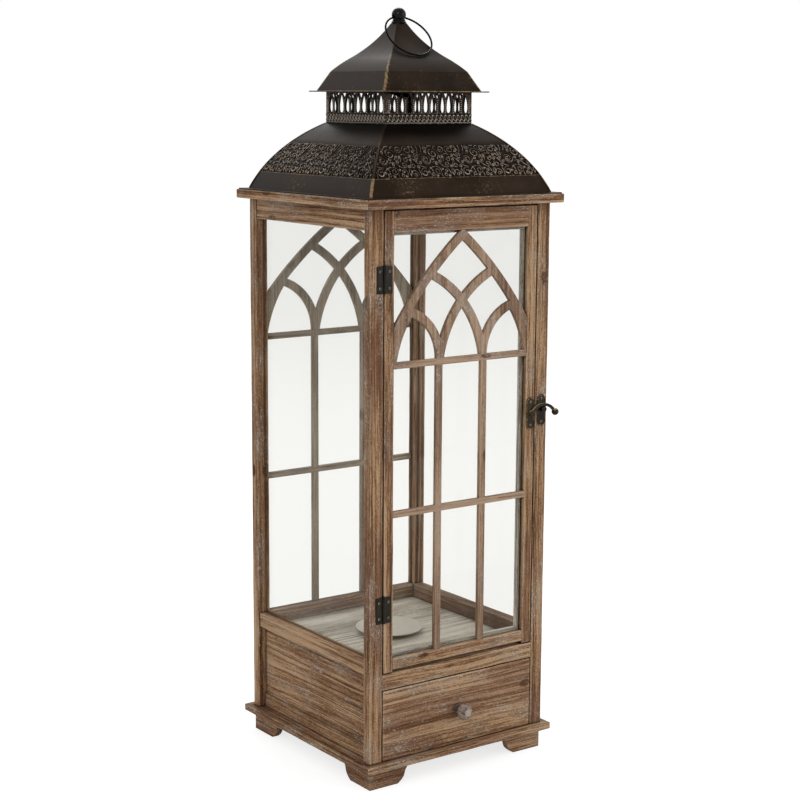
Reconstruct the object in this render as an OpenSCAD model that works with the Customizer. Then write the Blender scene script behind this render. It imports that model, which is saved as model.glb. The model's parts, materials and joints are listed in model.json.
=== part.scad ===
// Wooden candle lantern: a glazed chamber with a tracery door over a drawer,
// under a two-tier sheet-metal roof with a pierced gallery and a carrying ring.
// Millimetres. Origin: centre of the square plan, on the surface the feet stand on.
// The door and the drawer face -Y, and +Z is up.

/* [Body] */
// Width and depth of the timber frame over the posts
body_w = 220; // [190:1:270]
// Length of the posts, from base plate to cornice
frame_h = 547.5; // [450:0.5:700]
// Width of a post, along the front
post_w = 15; // [12:0.5:20]
// Depth of a post, front to back
post_d = 11; // [9:0.5:16]

/* [Base] */
// Height of the bracket feet
foot_h = 20; // [12:1:35]
// Thickness of the bracket feet
foot_t = 8; // [5:0.5:12]
// Length of a bracket foot along the floor
foot_len = 34.5; // [24:0.5:45]
// How much further a foot reaches at the plate than at the floor
foot_sweep = 17; // [6:0.5:24]
// How far the feet stand in from the outer faces of the posts
foot_inset = 1; // [0:0.5:4]
// Thickness of the base plate
plate_t = 7; // [5:0.5:14]
// How far the base plate stands out past the posts
plate_overhang = 7.5; // [3:0.5:16]

/* [Rails and panels] */
// Clear height of the drawer bay
bay_h = 74; // [55:1:110]
// Height of the fixed rail between drawer and door
front_rail_h = 16; // [10:0.5:24]
// Height of the sill rails under the glass
sill_h = 15; // [10:0.5:22]
// Height of the head rails over the glass
head_h = 21; // [12:0.5:30]
// How far the side rails are set back from the posts
rail_recess = 1.5; // [0.5:0.25:3]
// Depth from the post face to the side panels and side glass
side_recess = 9; // [6:0.5:10]
// Depth from the post face to the back panel
back_recess = 3; // [1:0.5:4]
// Thickness of the lower panels
panel_t = 6; // [4:0.5:8]
// Height of the strips along the foot of the panels
strip_h = 14; // [8:0.5:24]
// Thickness of those strips
strip_t = 1.5; // [1:0.25:2.75]
// Thickness of the floor board
floor_t = 6; // [4:0.5:10]
// Thickness of the cleats under the floor board
cleat = 6; // [4:0.5:10]

/* [Glass] */
// Thickness of the panes
glass_t = 2; // [1.5:0.25:3]
// How deep the panes stand in their grooves
groove_depth = 3; // [2:0.25:4]
// Clearance of a pane in its groove, each side
groove_play = 0.1; // [0.05:0.05:0.3]

/* [Door] */
// Thickness of the door frame
door_t = 12; // [11:0.5:15]
// Width of the door stiles
stile_w = 11; // [9:0.5:18]
// Height of the door's top rail
door_head_h = 21; // [12:0.5:30]
// How far the bottom rail stops short of the stile ends
rail_rise = 2.5; // [0:0.25:5]
// Gap between the door and each post
door_side_gap = 1.5; // [1:0.25:2.5]
// Gap between the door and the cornice
door_top_gap = 2.2; // [1:0.1:4]
// Gap between the door and the fixed rail
door_foot_gap = 1.2; // [0.6:0.1:3]
// Width and depth of the beads that hold the door glass
bead = 5; // [3:0.25:5]

/* [Tracery] */
// Thickness of the fretwork
fret_t = 4.5; // [3:0.25:4.5]
// Width of the upright bars
mullion_w = 7; // [5:0.5:10]
// Height of the cross bars
cross_bar_h = 6.4; // [4:0.2:10]
// Width of the curved bars
arch_bar_w = 8.4; // [6:0.2:10]
// Height of the door's lower cross bar over the sill
door_low_bar = 142; // [100:0.5:180]
// Height of the door's upper cross bar over the sill
door_high_bar = 288.5; // [260:0.5:320]
// Height of the back wall's lower cross bar over the sill
back_low_bar = 144; // [100:0.5:180]
// Height of the back wall's upper cross bar over the sill
back_high_bar = 293.5; // [260:0.5:320]
// Radius of the great arch, in bays
great_arch_bays = 6.8; // [4.5:0.1:12]
// Height where the great arch leaves the frame, over the upper bar, in bays
great_foot_bays = 0.6; // [0.3:0.05:0.9]
// Radius of the long arcs, in bays
long_arc_bays = 1.93; // [1.6:0.01:2.2]
// Depth of the long arcs' centres under the upper bar's top, in bays
long_drop_bays = 0.33; // [0:0.01:0.5]
// Radius of the short arcs, in bays
short_arc_bays = 0.82; // [0.7:0.01:0.95]

/* [Hinges] */
// Height of a hinge
hinge_h = 26; // [20:1:40]
// Distance from the door's ends to the hinge centres
hinge_inset = 65; // [45:1:90]
// Width of a hinge leaf
leaf_w = 7.2; // [6:0.2:9]
// Thickness of a hinge leaf
leaf_t = 1; // [0.6:0.1:1.4]
// Radius of the knuckles
knuckle_r = 1.6; // [1.4:0.1:2.4]
// Radius of the hinge pins
hinge_pin_r = 0.8; // [0.6:0.05:1]
// Radius of the nail shanks
nail_r = 0.6; // [0.4:0.05:0.8]
// Length of the nails
nail_len = 8; // [5:0.5:9]

/* [Latch] */
// Height of the latch over the chamber floor
latch_up = 245; // [150:1:330]
// Height of the latch plates
latch_plate_h = 33; // [28:0.5:40]
// Width of the latch plates
latch_plate_w = 10.5; // [8:0.5:11]
// Thickness of the latch plates
latch_plate_t = 1; // [0.8:0.1:1.5]
// Radius of the lever's swan neck
lever_r = 18; // [14:0.5:24]
// Width of the lever
lever_w = 3; // [2:0.1:4]
// Thickness of the lever
lever_t = 2.2; // [1.6:0.1:3]
// Radius of the ball on the lever's end
lever_ball_r = 3.7; // [2.8:0.1:4.2]
// Radius of the lever's boss
boss_r = 3.2; // [2.6:0.1:4]
// Radius of the pivot rivet
rivet_r = 1.5; // [1.2:0.1:1.8]
// Radius of the catch stud's head
stud_r = 2.8; // [2:0.1:3.2]
// How far the stud's head stands out past the lever
stud_reach = 1.8; // [0:0.1:3]

/* [Drawer] */
// Thickness of the drawer front
drawer_front_t = 10; // [8:0.5:14]
// Thickness of the drawer sides and back
drawer_side_t = 7; // [5:0.5:10]
// Thickness of the drawer bottom
drawer_floor_t = 4; // [3:0.5:6]
// Height of the drawer sides
drawer_side_h = 60; // [40:1:70]
// Gap between the drawer front and the frame
drawer_gap = 1; // [0.5:0.1:2]
// Clearance between the drawer and the base plate
drawer_lift = 0.3; // [0.2:0.05:0.6]
// Room behind the closed drawer
drawer_back_room = 11; // [5:1:25]
// Radius of the knob
knob_r = 8.5; // [6:0.5:12]
// How far the knob stands out
knob_len = 17; // [12:0.5:22]

/* [Cornice] */
// How far the cornice stands out past the posts
cornice_overhang = 10; // [5:0.5:16]
// Thickness of the cornice boards
cornice_t = 9; // [6:0.5:14]
// Width of the cornice boards
cornice_w = 28; // [26:0.5:40]

/* [Roof] */
// Thickness of the roof metal
roof_t = 1.2; // [0.8:0.1:1.6]
// How far the roof's flange stays in from the cornice edge
flange_inset = 2; // [0.5:0.5:4]
// Width of the lower roof's flange
flange_w = 7.5; // [4:0.5:12]
// Height of the lower roof
lower_roof_h = 68.5; // [50:0.5:95]
// Radius of the lower roof's bulge
lower_roof_r = 133; // [100:1:200]
// Half the width of the gallery
gallery_half = 52.7; // [44:0.1:62]
// Height of the gallery
gallery_h = 30.8; // [24:0.1:40]
// Height of the gallery's plain strip
gallery_strip_h = 10.3; // [7:0.1:12]
// Thickness of the gallery's metal
gallery_t = 0.8; // [0.8:0.1:1.2]
// Number of bays in each gallery wall
gallery_bays = 10; // [6:1:11]
// Width of a gallery column where it is thinnest
column_w = 2.8; // [2.4:0.1:3.6]
// How far the cap's flange stands out past the gallery
cap_overhang = 13; // [6:0.5:18]
// Width of the cap's flange
cap_flange_w = 5.7; // [4:0.1:9]
// Height of the cap's skirt, up to its crease
cap_skirt_h = 20.2; // [14:0.1:24]
// How far the skirt leans in from its foot to its crease
cap_skirt_lean = 10; // [6:0.1:12]
// Slope of the belly where it leaves the crease
cap_pitch = 49; // [46:0.5:52]
// Radius of the cap's belly
cap_r = 95; // [80:0.5:110]
// Radius of the cap's hollow neck
cap_neck_r = 107; // [95:0.5:120]
// Height of the cap
cap_h = 68.2; // [66:0.1:71]
// Half the width of the cap's top
cap_top = 6.1; // [5:0.1:7]

/* [Finial and ring] */
// Radius of the finial ball
ball_r = 7.3; // [6.8:0.1:8]
// Height of the finial's neck of two beads
finial_neck_h = 3.8; // [3:0.1:5]
// Radius of the carrying ring, to the middle of its wire
ring_r = 25.6; // [22:0.1:30]
// Radius of the ring's wire
wire_r = 1; // [0.8:0.05:1.3]
// How far the ring's hole lies under the ball's centre
ring_hole_drop = 2; // [0:0.25:2.5]
// Gap between the ring and the roof it leans on
ring_rest_gap = 0.3; // [0.2:0.05:0.5]

/* [Candle dish] */
// Radius of the dish
dish_r = 35.2; // [25:0.2:45]
// Height of the dish's rim over the floor
dish_h = 7; // [5:0.5:12]
// Radius of the dish's flat middle
dish_flat_r = 16; // [12:0.5:20]
// Height of the foot under the dish
dish_foot_h = 2.5; // [2.5:0.25:3.5]
// Thickness of the dish
dish_t = 1; // [0.6:0.1:1.2]
// Place of the dish, left to right
dish_x = -5; // [-20:1:20]
// Place of the dish, front to back
dish_y = 5; // [-20:1:20]

/* [Hidden] */
$fn = 64;

// heights of the main levels
plate_z = foot_h + plate_t;
bay_top_z = plate_z + bay_h;
floor_z = bay_top_z + front_rail_h;
sill_z = floor_z + sill_h;
cornice_z = plate_z + frame_h;
head_z = cornice_z - head_h;
roof_z = cornice_z + cornice_t;
gallery_z = roof_z + lower_roof_h;
cap_z = gallery_z + gallery_h;
cap_top_z = cap_z + cap_h;
ball_z = cap_top_z + finial_neck_h + ball_r * 0.6;
ring_z = ball_z - ring_hole_drop;

// plan
half = body_w / 2;
bay_half = half - post_w;
wall_half = half - post_d;
fit = 0.3;
mitre_gap = 0.05;
weld = 0.01;

floor_half = bay_half - fit;
side_panel_in = half - side_recess - panel_t;
front_rail_t = door_t;

// door
door_half = bay_half - door_side_gap;
door_foot_z = floor_z + door_foot_gap;
door_top_z = cornice_z - door_top_gap;
light_half = door_half - stile_w;
light_foot_z = sill_z;
light_top_z = door_top_z - door_head_h;
door_back_y = -half + door_t;

// tracery
springer = 1.8;

// hinges: the axis stands one knuckle radius in front of the posts
hinge_x = -bay_half + door_side_gap / 2;
hinge_y = -half - knuckle_r;
hinge_zs = [door_foot_z + hinge_inset, door_top_z - hinge_inset];
pin_play = 0.05;
nail_play = 0.02;
knuckle_gap = 0.2;

// latch: the lever is an arc that starts at the pivot and ends at the ball
latch_z = floor_z + latch_up;
pivot_z = latch_z - 1;
plate_face_y = -half - latch_plate_t;
latch_x = door_half - stile_w / 2;
catch_x = bay_half + post_w / 2;
lever_start = 146;
lever_end = 31;
lever_cx = latch_x - lever_r * cos(lever_start);
lever_cz = pivot_z - lever_r * sin(lever_start);
lever_y = plate_face_y - 1;
ball_y = -half - lever_ball_r - fit;
rivet_y = lever_y - lever_t - pin_play;
rivet_head_t = 0.6;
lever_rest_gap = 0.3;
lever_under_z = lever_cz + sqrt(pow(lever_r - lever_w / 2, 2) - pow(catch_x - lever_cx, 2));
stud_z = lever_under_z - lever_rest_gap - stud_r;
pin_up = latch_plate_h / 2 - 4.5;
plate_offset = 1.2;
door_plate_z = latch_z - plate_offset;
catch_plate_z = latch_z + plate_offset;

// drawer
drawer_half = bay_half - drawer_gap;
drawer_box_half = drawer_half - 0.5;
drawer_z = plate_z + drawer_lift;
drawer_top_z = bay_top_z - drawer_gap;
drawer_mid_z = (drawer_z + drawer_top_z) / 2;
drawer_end_y = half - back_recess - panel_t - drawer_back_room;
drawer_inside = drawer_box_half - drawer_side_t;
drawer_floor_z = [drawer_z + 6, drawer_z + 6 + drawer_floor_t];
tongue = drawer_side_t / 2;
knob_screw_r = 1.8;

// roof
cornice_half = half + cornice_overhang;
flange_half = cornice_half - flange_inset;
eave_half = flange_half - flange_w;
cap_flange_half = gallery_half + cap_overhang;
seat_w = 6;
gallery_rail_h = 1.3;
corner_w = 3.6;
stem_r = 2.4;
stem_len = 5;
bead_r = finial_neck_h / 4;

wood = "#7b5c45";
wood_light = "#9a7d62";
whitewash = "#b5ab9c";
bronze = "#2f2b28";
iron = "#2a2820";
brass = "#5a5040";
steel = "#a8a59c";
clear = [0.85, 0.92, 0.90, 0.35];

// a box from ranges along X, Y and Z
module slab(x, y, z)
    translate([x[0], y[0], z[0]]) cube([x[1] - x[0], y[1] - y[0], z[1] - z[0]]);

// children made for the +X side, turned over for the -X side
module sided(s) mirror([s < 0 ? 1 : 0, 0, 0]) children();

// children made for the +Y side, turned over for the -Y side
module fore(s) mirror([0, s < 0 ? 1 : 0, 0]) children();

// a cylinder along Y, from y0 to y1
module rod_y(x, z, r, y0, y1)
    translate([x, y1, z]) rotate([90, 0, 0]) cylinder(r = r, h = y1 - y0);

// a flat shape drawn in X and Z, given thickness from y0 to y1
module plate_y(y0, y1) translate([0, y1, 0]) rotate([90, 0, 0]) linear_extrude(y1 - y0) children();

// points of an arc about c, from angle a0 to angle a1
function arc(c, r, a0, a1, n = 12) =
    [for (i = [0:n]) let (a = a0 + (a1 - a0) * i / n) c + r * [cos(a), sin(a)]];

// centre of a circle of radius r through p and q, on the right of the way from p to q
function centre_on_right(p, q, r) =
    let (d = q - p, l = norm(d)) (p + q) / 2 + [d.y, -d.x] / l * sqrt(r * r - l * l / 4);

// the point at distance a from p and b from q, on the right of the way from p to q
function corner_on_right(p, q, a, b) =
    let (d = q - p, l = norm(d), u = (a * a - b * b + l * l) / (2 * l), v = sqrt(a * a - u * u))
    p + d / l * u + [d.y, -d.x] / l * v;

function angle_to(c, p) = atan2(p.y - c.y, p.x - c.x);

module ring_2d(c, r_in, r_out) translate(c) difference() {
    circle(r = r_out);
    circle(r = r_in);
}

// the part of the plane between two directions from c
module wedge_2d(c, a0, a1, reach) polygon(concat([c], arc(c, reach, a0, a1, 6)));

// one of four sides, turned from the front (0) by quarter turns, cut at the mitres
module quarter(i, low, high, reach, gap = 0) rotate([0, 0, 90 * i]) intersection() {
    children();
    translate([0, -gap, low]) linear_extrude(high - low)
        polygon([[0, 0], [reach, -reach], [-reach, -reach]]);
}

// ---- base ----

module base_plate() color(wood) {
    w = half + plate_overhang;
    slab([-w, w], [-w, w], [foot_h, plate_z]);
}

// one leg of a bracket foot, with its outer corner at the origin
module foot_leg() {
    sweep = [for (t = [0.16:0.16:1])
        [foot_len + foot_sweep * (t + 0.12 * sin(360 * t)), foot_h * t]];
    plate_y(-foot_t, 0)
        polygon(concat([[0, 0], [foot_len, 0]], sweep, [[foot_len + foot_sweep, foot_h], [0, foot_h]]));
}

module bracket_foot(sx, sy) color(wood) sided(sx) fore(sy)
    translate([half - foot_inset, half - foot_inset, 0]) {
        mirror([1, 0, 0]) foot_leg();
        rotate([0, 0, -90]) foot_leg();
    }

// ---- posts, rails and panels ----

// where the panes stand, as distances from the middle
side_pane = [half - side_recess - glass_t, half - side_recess];
back_pane = [half - fret_t - glass_t, half - fret_t];
pane_bite = groove_depth - 2 * groove_play;
groove_z = [sill_z - groove_depth, head_z + groove_depth];
sill_range = [floor_z, sill_z];
head_range = [head_z, cornice_z];
sill_groove = [sill_z - groove_depth, sill_z + 1];
head_groove = [head_z - 1, head_z + groove_depth];

// a range, widened by the groove's play
function loose(range) = [range[0] - groove_play, range[1] + groove_play];

// a post, grooved for the side pane and, at the back, for the back pane
module post(sx, sy) color(wood) difference() {
    sided(sx) fore(sy) difference() {
        slab([bay_half, half], [wall_half, half], [plate_z, cornice_z]);
        slab(loose(side_pane), [wall_half - 1, wall_half + groove_depth], groove_z);
        if (sy > 0)
            slab([bay_half - 1, bay_half + groove_depth], loose(back_pane), groove_z);
    }
    if (sy < 0 && sx < 0) hinge_nails(-1, nail_play);
    if (sy < 0 && sx > 0) latch_nails(catch_x, catch_plate_z, nail_play);
}

module front_rail() color(wood)
    slab([-bay_half, bay_half], [-half, -half + front_rail_t], [bay_top_z, floor_z]);

// a side rail, with the groove for the pane along its inner edge
module side_rail(s, z, groove) color(wood) sided(s) difference() {
    slab([bay_half, half - rail_recess], [-wall_half, wall_half], z);
    slab(loose(side_pane), [-half, half], groove);
}

module back_rail(z, groove) color(wood) difference() {
    slab([-bay_half, bay_half], [wall_half, half], z);
    slab([-half, half], loose(back_pane), groove);
}

module side_panel(s) color(wood) sided(s)
    slab([half - side_recess - panel_t, half - side_recess], [-wall_half, wall_half], [plate_z, floor_z]);

module back_panel() color(wood)
    slab([-bay_half, bay_half], [half - back_recess - panel_t, half - back_recess], [plate_z, floor_z]);

module panel_strips() color(wood) {
    z = [plate_z, plate_z + strip_h];
    for (s = [-1, 1]) sided(s)
        slab([half - side_recess, half - side_recess + strip_t], [-wall_half, wall_half], z);
    slab([-bay_half, bay_half], [half - back_recess, half - back_recess + strip_t], z);
}

module floor_board() color(whitewash) difference() {
    slab([-floor_half, floor_half], [-half + front_rail_t, half - back_recess - panel_t - fit],
         [floor_z - floor_t, floor_z]);
    dish_screw_shank(nail_play);
}

module floor_cleats() color(wood) for (s = [-1, 1]) sided(s)
    slab([side_panel_in - cleat, side_panel_in], [-half + front_rail_t, wall_half],
         [floor_z - floor_t - cleat, floor_z - floor_t]);

// ---- glass ----

module glass_side(s) color(clear) sided(s)
    slab(side_pane, [-wall_half - pane_bite, wall_half + pane_bite],
         [sill_z - pane_bite, head_z + pane_bite]);

module glass_back() color(clear)
    slab([-bay_half - pane_bite, bay_half + pane_bite], back_pane,
         [sill_z - pane_bite, head_z + pane_bite]);

// ---- tracery ----

// Fretwork that fills a window from x -w to w and z[0] to z[1]: two uprights, two cross
// bars, and over them interlacing arcs under one great pointed arch.
// bars holds the heights of the tops of the lower and upper cross bars.
module fretwork(w, z, bars) {
    bay = 2 * w / 3;
    top = bars[1];
    great_r = great_arch_bays * bay;
    foot = [-w, top + great_foot_bays * bay];
    apex = [0, z[1] + arch_bar_w / 6];
    great = centre_on_right(foot, apex, great_r);
    long_r = long_arc_bays * bay;
    long_z = top - long_drop_bays * bay;
    short_r = short_arc_bays * bay;
    edge = bay / 2 - mullion_w / 2;
    for (s = [-1, 1])
        translate([s * bay / 2 - mullion_w / 2, z[0]]) square([mullion_w, top - z[0]]);
    for (b = bars) translate([-w, b - cross_bar_h]) square([2 * w, cross_bar_h]);
    spring = [-w + long_r + springer, long_z];
    short = [-edge - mullion_w - short_r, top];
    joint = corner_on_right(great, short, great_r - arch_bar_w, short_r + arch_bar_w / 2);
    intersection() {
        translate([-w, top - weld]) square([2 * w, z[1] - top + weld]);
        translate(great) circle(r = great_r);
        mirror([1, 0]) translate(great) circle(r = great_r);
        for (s = [0, 1]) mirror([s, 0]) {
            ring_2d(great, great_r - arch_bar_w, great_r + arch_bar_w);
            ring_2d([-edge + long_r, long_z], long_r, long_r + arch_bar_w);
            ring_2d(short, short_r, short_r + arch_bar_w);
            intersection() {
                ring_2d(spring, long_r, long_r + arch_bar_w);
                wedge_2d(spring, angle_to(spring, joint), 200, 2 * long_r);
            }
        }
    }
}

// the tops of the cross bars, from their heights over the sill
function bar_tops(low, high) = [sill_z + low + cross_bar_h, sill_z + high + cross_bar_h];

module back_tracery() color(wood) plate_y(half - fret_t, half)
    fretwork(bay_half, [sill_z, head_z], bar_tops(back_low_bar, back_high_bar));

module door_tracery() color(wood) plate_y(-half, -half + fret_t)
    fretwork(light_half, [light_foot_z, light_top_z], bar_tops(door_low_bar, door_high_bar));

// ---- door ----

module door_stile(s) color(wood) difference() {
    sided(s) slab([light_half, door_half], [-half, door_back_y], [door_foot_z, door_top_z]);
    if (s < 0) hinge_nails(1, nail_play);
    if (s > 0) latch_nails(latch_x, door_plate_z, nail_play);
}

module door_rail_top() color(wood)
    slab([-light_half, light_half], [-half, door_back_y], [light_top_z, door_top_z]);

module door_rail_bottom() color(wood)
    slab([-light_half, light_half], [-half, door_back_y], [door_foot_z + rail_rise, light_foot_z]);

module door_glass() color(clear)
    slab([-light_half + groove_play, light_half - groove_play], [-half + fret_t, -half + fret_t + glass_t],
         [light_foot_z + groove_play, light_top_z - groove_play]);

// four beads behind the pane, the level ones between the upright ones
module door_beads() color(wood) {
    y = [-half + fret_t + glass_t, -half + fret_t + glass_t + bead];
    for (s = [-1, 1]) sided(s)
        slab([light_half - bead, light_half], y, [light_foot_z, light_top_z]);
    for (z = [light_foot_z, light_top_z - bead])
        slab([-light_half + bead + mitre_gap, light_half - bead - mitre_gap], y, [z, z + bead]);
}

// ---- hinges ----

barrel_h = (hinge_h - 2 * knuckle_gap) / 3;
nail_up = hinge_h * 0.31;

// where the barrels of a leaf start: the post leaf (-1) has two, the door leaf (1) one
function barrels(s) = s < 0 ? [0, 2 * (barrel_h + knuckle_gap)] : [barrel_h + knuckle_gap];

module hinge_leaf(s, z) translate([hinge_x, 0, z - hinge_h / 2]) difference() {
    union() {
        sided(s) slab([knuckle_r / 2, knuckle_r + leaf_w], [-half - leaf_t, -half], [0, hinge_h]);
        for (b = barrels(s)) translate([0, hinge_y, b]) cylinder(r = knuckle_r, h = barrel_h);
    }
    for (b = barrels(-s)) translate([0, hinge_y, b - knuckle_gap])
        cylinder(r = knuckle_r + knuckle_gap, h = barrel_h + 2 * knuckle_gap);
    translate([0, hinge_y, -1]) cylinder(r = hinge_pin_r + pin_play, h = hinge_h + 2);
}

module hinge_leaves(s) color(iron) difference() {
    for (z = hinge_zs) hinge_leaf(s, z);
    hinge_nails(s, nail_play);
}

module hinge_pins() color(iron) for (z = hinge_zs) translate([hinge_x, hinge_y, z - hinge_h / 2]) {
    cylinder(r = hinge_pin_r, h = hinge_h + pin_play);
    translate([0, 0, hinge_h + pin_play]) cylinder(r = knuckle_r * 0.9, h = leaf_t);
}

// a nail driven along +Y, its head seated on the metal at y; play widens it to a hole
module nail(x, z, y, play = 0) {
    rod_y(x, z, nail_r + play, y, y + nail_len);
    if (play == 0) rod_y(x, z, nail_r * 2.2, y - nail_r, y);
}

// two nails in each leaf on side s
module hinge_nails(s, play = 0) for (z = hinge_zs, up = [-nail_up, nail_up])
    nail(hinge_x + s * (knuckle_r + leaf_w * 0.55), z + up, -half - leaf_t, play);

// ---- latch ----

// a nail near each end of a latch plate whose middle is at x and z
module latch_nails(x, z, play = 0) for (up = [-pin_up, pin_up]) nail(x, z + up, plate_face_y, play);

// the outline of a plate with a round foot; its head is round too, or comes to a point
module plate_outline(pointed) {
    w = latch_plate_w / 2;
    h = latch_plate_h / 2;
    head = pointed ? [[w, h - 0.85 * w], [0.25 * w, h - 0.08 * w], [-0.25 * w, h - 0.08 * w], [-w, h - 0.85 * w]]
                   : arc([0, h - w], w, 0, 180, 14);
    polygon(concat(head, arc([0, w - h], w, 180, 360, 14)));
}

module latch_plate() color(brass) {
    difference() {
        plate_y(plate_face_y, -half) translate([latch_x, door_plate_z]) plate_outline(false);
        latch_nails(latch_x, door_plate_z, nail_play);
    }
    rod_y(latch_x, pivot_z, rivet_r, rivet_y, -half - weld);
    rod_y(latch_x, pivot_z, rivet_r * 1.5, rivet_y - rivet_head_t, rivet_y);
    rod_y(latch_x, pivot_z, boss_r, lever_y + pin_play, plate_face_y + weld);
}

module catch_plate() color(brass) {
    difference() {
        plate_y(plate_face_y, -half) translate([catch_x, catch_plate_z]) plate_outline(true);
        latch_nails(catch_x, catch_plate_z, nail_play);
    }
    rod_y(catch_x, stud_z, stud_r * 0.6, lever_y, -half - weld);
    rod_y(catch_x, stud_z, stud_r, lever_y - lever_t - stud_reach, lever_y + weld);
}

module latch_lever() color(brass) difference() {
    union() {
        plate_y(lever_y - lever_t, lever_y) {
            intersection() {
                ring_2d([lever_cx, lever_cz], lever_r - lever_w / 2, lever_r + lever_w / 2);
                wedge_2d([lever_cx, lever_cz], lever_end, lever_start + 6, 2 * lever_r);
            }
            translate([latch_x, pivot_z]) circle(r = boss_r);
        }
        translate([lever_cx, ball_y, lever_cz])
            translate(lever_r * [cos(lever_end), 0, sin(lever_end)]) sphere(r = lever_ball_r);
    }
    rod_y(latch_x, pivot_z, rivet_r + pin_play, lever_y - 2 * lever_t, lever_y + lever_t);
}

// ---- drawer ----

module drawer_front() color(wood) difference() {
    slab([-drawer_half, drawer_half], [-half, -half + drawer_front_t], [drawer_z, drawer_top_z]);
    slab([-drawer_box_half + drawer_side_t - tongue, drawer_box_half - drawer_side_t + tongue],
         [-half + drawer_front_t - tongue, 0], loose(drawer_floor_z));
    rod_y(0, drawer_mid_z, knob_screw_r + nail_play, -half - 1, 0);
}

module drawer_side(s) color(wood) sided(s) difference() {
    slab([drawer_box_half - drawer_side_t, drawer_box_half], [-half + drawer_front_t, drawer_end_y],
         [drawer_z, drawer_z + drawer_side_h]);
    slab([0, drawer_box_half - drawer_side_t + tongue], [-half, half], loose(drawer_floor_z));
}

module drawer_back() color(wood)
    slab([-drawer_inside, drawer_inside], [drawer_end_y - drawer_side_t, drawer_end_y],
         [drawer_floor_z[1] + groove_play, drawer_z + drawer_side_h]);

module drawer_bottom() color(wood)
    slab([-drawer_inside - tongue + groove_play, drawer_inside + tongue - groove_play],
         [-half + drawer_front_t - tongue + groove_play, drawer_end_y], drawer_floor_z);

// the knob is turned: a rose, a neck and a round belly with a small flat tip
module drawer_knob() color(wood_light) {
    belly = (knob_len - 6) / 2;
    neck = knob_r - belly;
    rose = neck * 2;
    outline = concat([[0, 0], [rose, 0], [rose, 1.2]],
                     arc([rose, neck + 1.2], neck - 0.6, -90, -170, 6),
                     arc([neck, knob_len - 1 - belly], belly, -80, 82, 14),
                     [[neck + 0.8, knob_len], [0, knob_len]]);
    difference() {
        translate([0, -half, drawer_mid_z]) rotate([90, 0, 0]) rotate_extrude() polygon(outline);
        rod_y(0, drawer_mid_z, knob_screw_r + nail_play, -half - knob_len * 0.6, 0);
    }
}

module knob_screw() color(iron) {
    y = -half + drawer_front_t;
    rod_y(0, drawer_mid_z, knob_screw_r, -half - knob_len * 0.55, y + weld);
    rod_y(0, drawer_mid_z, knob_screw_r * 2, y, y + knob_screw_r);
}

// ---- cornice and roof ----

module cornice_frame() color(wood) for (i = [0:3])
    quarter(i, cornice_z, roof_z, cornice_half, mitre_gap)
        slab([-cornice_half, cornice_half], [-cornice_half, cornice_w - cornice_half], [cornice_z, roof_z]);

// the lower roof bulges from the eave in to the foot of the gallery
lower_centre = centre_on_right([gallery_half, gallery_z], [eave_half, roof_z + roof_t], lower_roof_r);

// a bar along X with the given section, drawn in Y and Z with its outer side towards -Y
module along_x(length) rotate([90, 0, -90]) linear_extrude(length, center = true) children();

module roof_panel(i) color(bronze) quarter(i, roof_z, gallery_z, cornice_half) {
    along_x(2 * cornice_half) intersection() {
        ring_2d(lower_centre, lower_roof_r - roof_t, lower_roof_r);
        translate([gallery_half - seat_w, roof_z]) square([cornice_half, lower_roof_h]);
    }
    slab([-cornice_half, cornice_half], [-flange_half, -eave_half + roof_t], [roof_z, roof_z + roof_t]);
    slab([-cornice_half, cornice_half], [-gallery_half, -gallery_half + seat_w],
         [gallery_z - roof_t, gallery_z]);
}

// one opening of the gallery: a lancet with a round foot and a long pointed head
module lancet(w, z0, z1) {
    h = z1 - z0;
    edge = [[0.16, 0], [0.36, 0.05], [0.47, 0.15], [0.5, 0.3], [0.46, 0.46], [0.35, 0.64], [0.2, 0.82], [0, 1]];
    right = [for (p = edge) [p.x * w, z0 + p.y * h]];
    left = [for (i = [len(right) - 2:-1:0]) [-right[i].x, right[i].y]];
    polygon(concat(right, left));
}

// a small opening over each column, its point down
module spandrel(w, z) polygon([[-w / 2, z], [w / 2, z], [0, z - w]]);

// two opposite walls' worth of openings
module gallery_openings() along_x(3 * gallery_half) {
    inner = 2 * (gallery_half - corner_w);
    pitch = inner / gallery_bays;
    for (i = [0:gallery_bays - 1]) translate([pitch * (i + 0.5) - inner / 2, 0])
        lancet(pitch - column_w, gallery_z + gallery_strip_h, cap_z - gallery_rail_h);
    for (i = [1:gallery_bays - 1]) translate([pitch * i - inner / 2, 0])
        spandrel(pitch - 2 * column_w + 1, cap_z - gallery_rail_h);
}

module gallery_band() color(bronze) difference() {
    inner = gallery_half - gallery_t;
    slab([-gallery_half, gallery_half], [-gallery_half, gallery_half], [gallery_z, cap_z]);
    slab([-inner, inner], [-inner, inner], [gallery_z - 1, cap_z + 1]);
    gallery_openings();
    rotate([0, 0, 90]) gallery_openings();
}

// the cap: a straight skirt up to a crease, a round belly, then a hollow neck that meets it at the turn
skirt_foot = [cap_flange_half - cap_flange_w, cap_z];
crease = skirt_foot + [-cap_skirt_lean, cap_skirt_h];
skirt_in = roof_t * [cap_skirt_h, cap_skirt_lean] / norm(crease - skirt_foot);
belly_centre = crease - cap_r * [sin(cap_pitch), cos(cap_pitch)];
hollow_centre = corner_on_right(belly_centre, [cap_top, cap_top_z], cap_r + cap_neck_r, cap_neck_r);
turn_angle = angle_to(belly_centre, hollow_centre);

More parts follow.
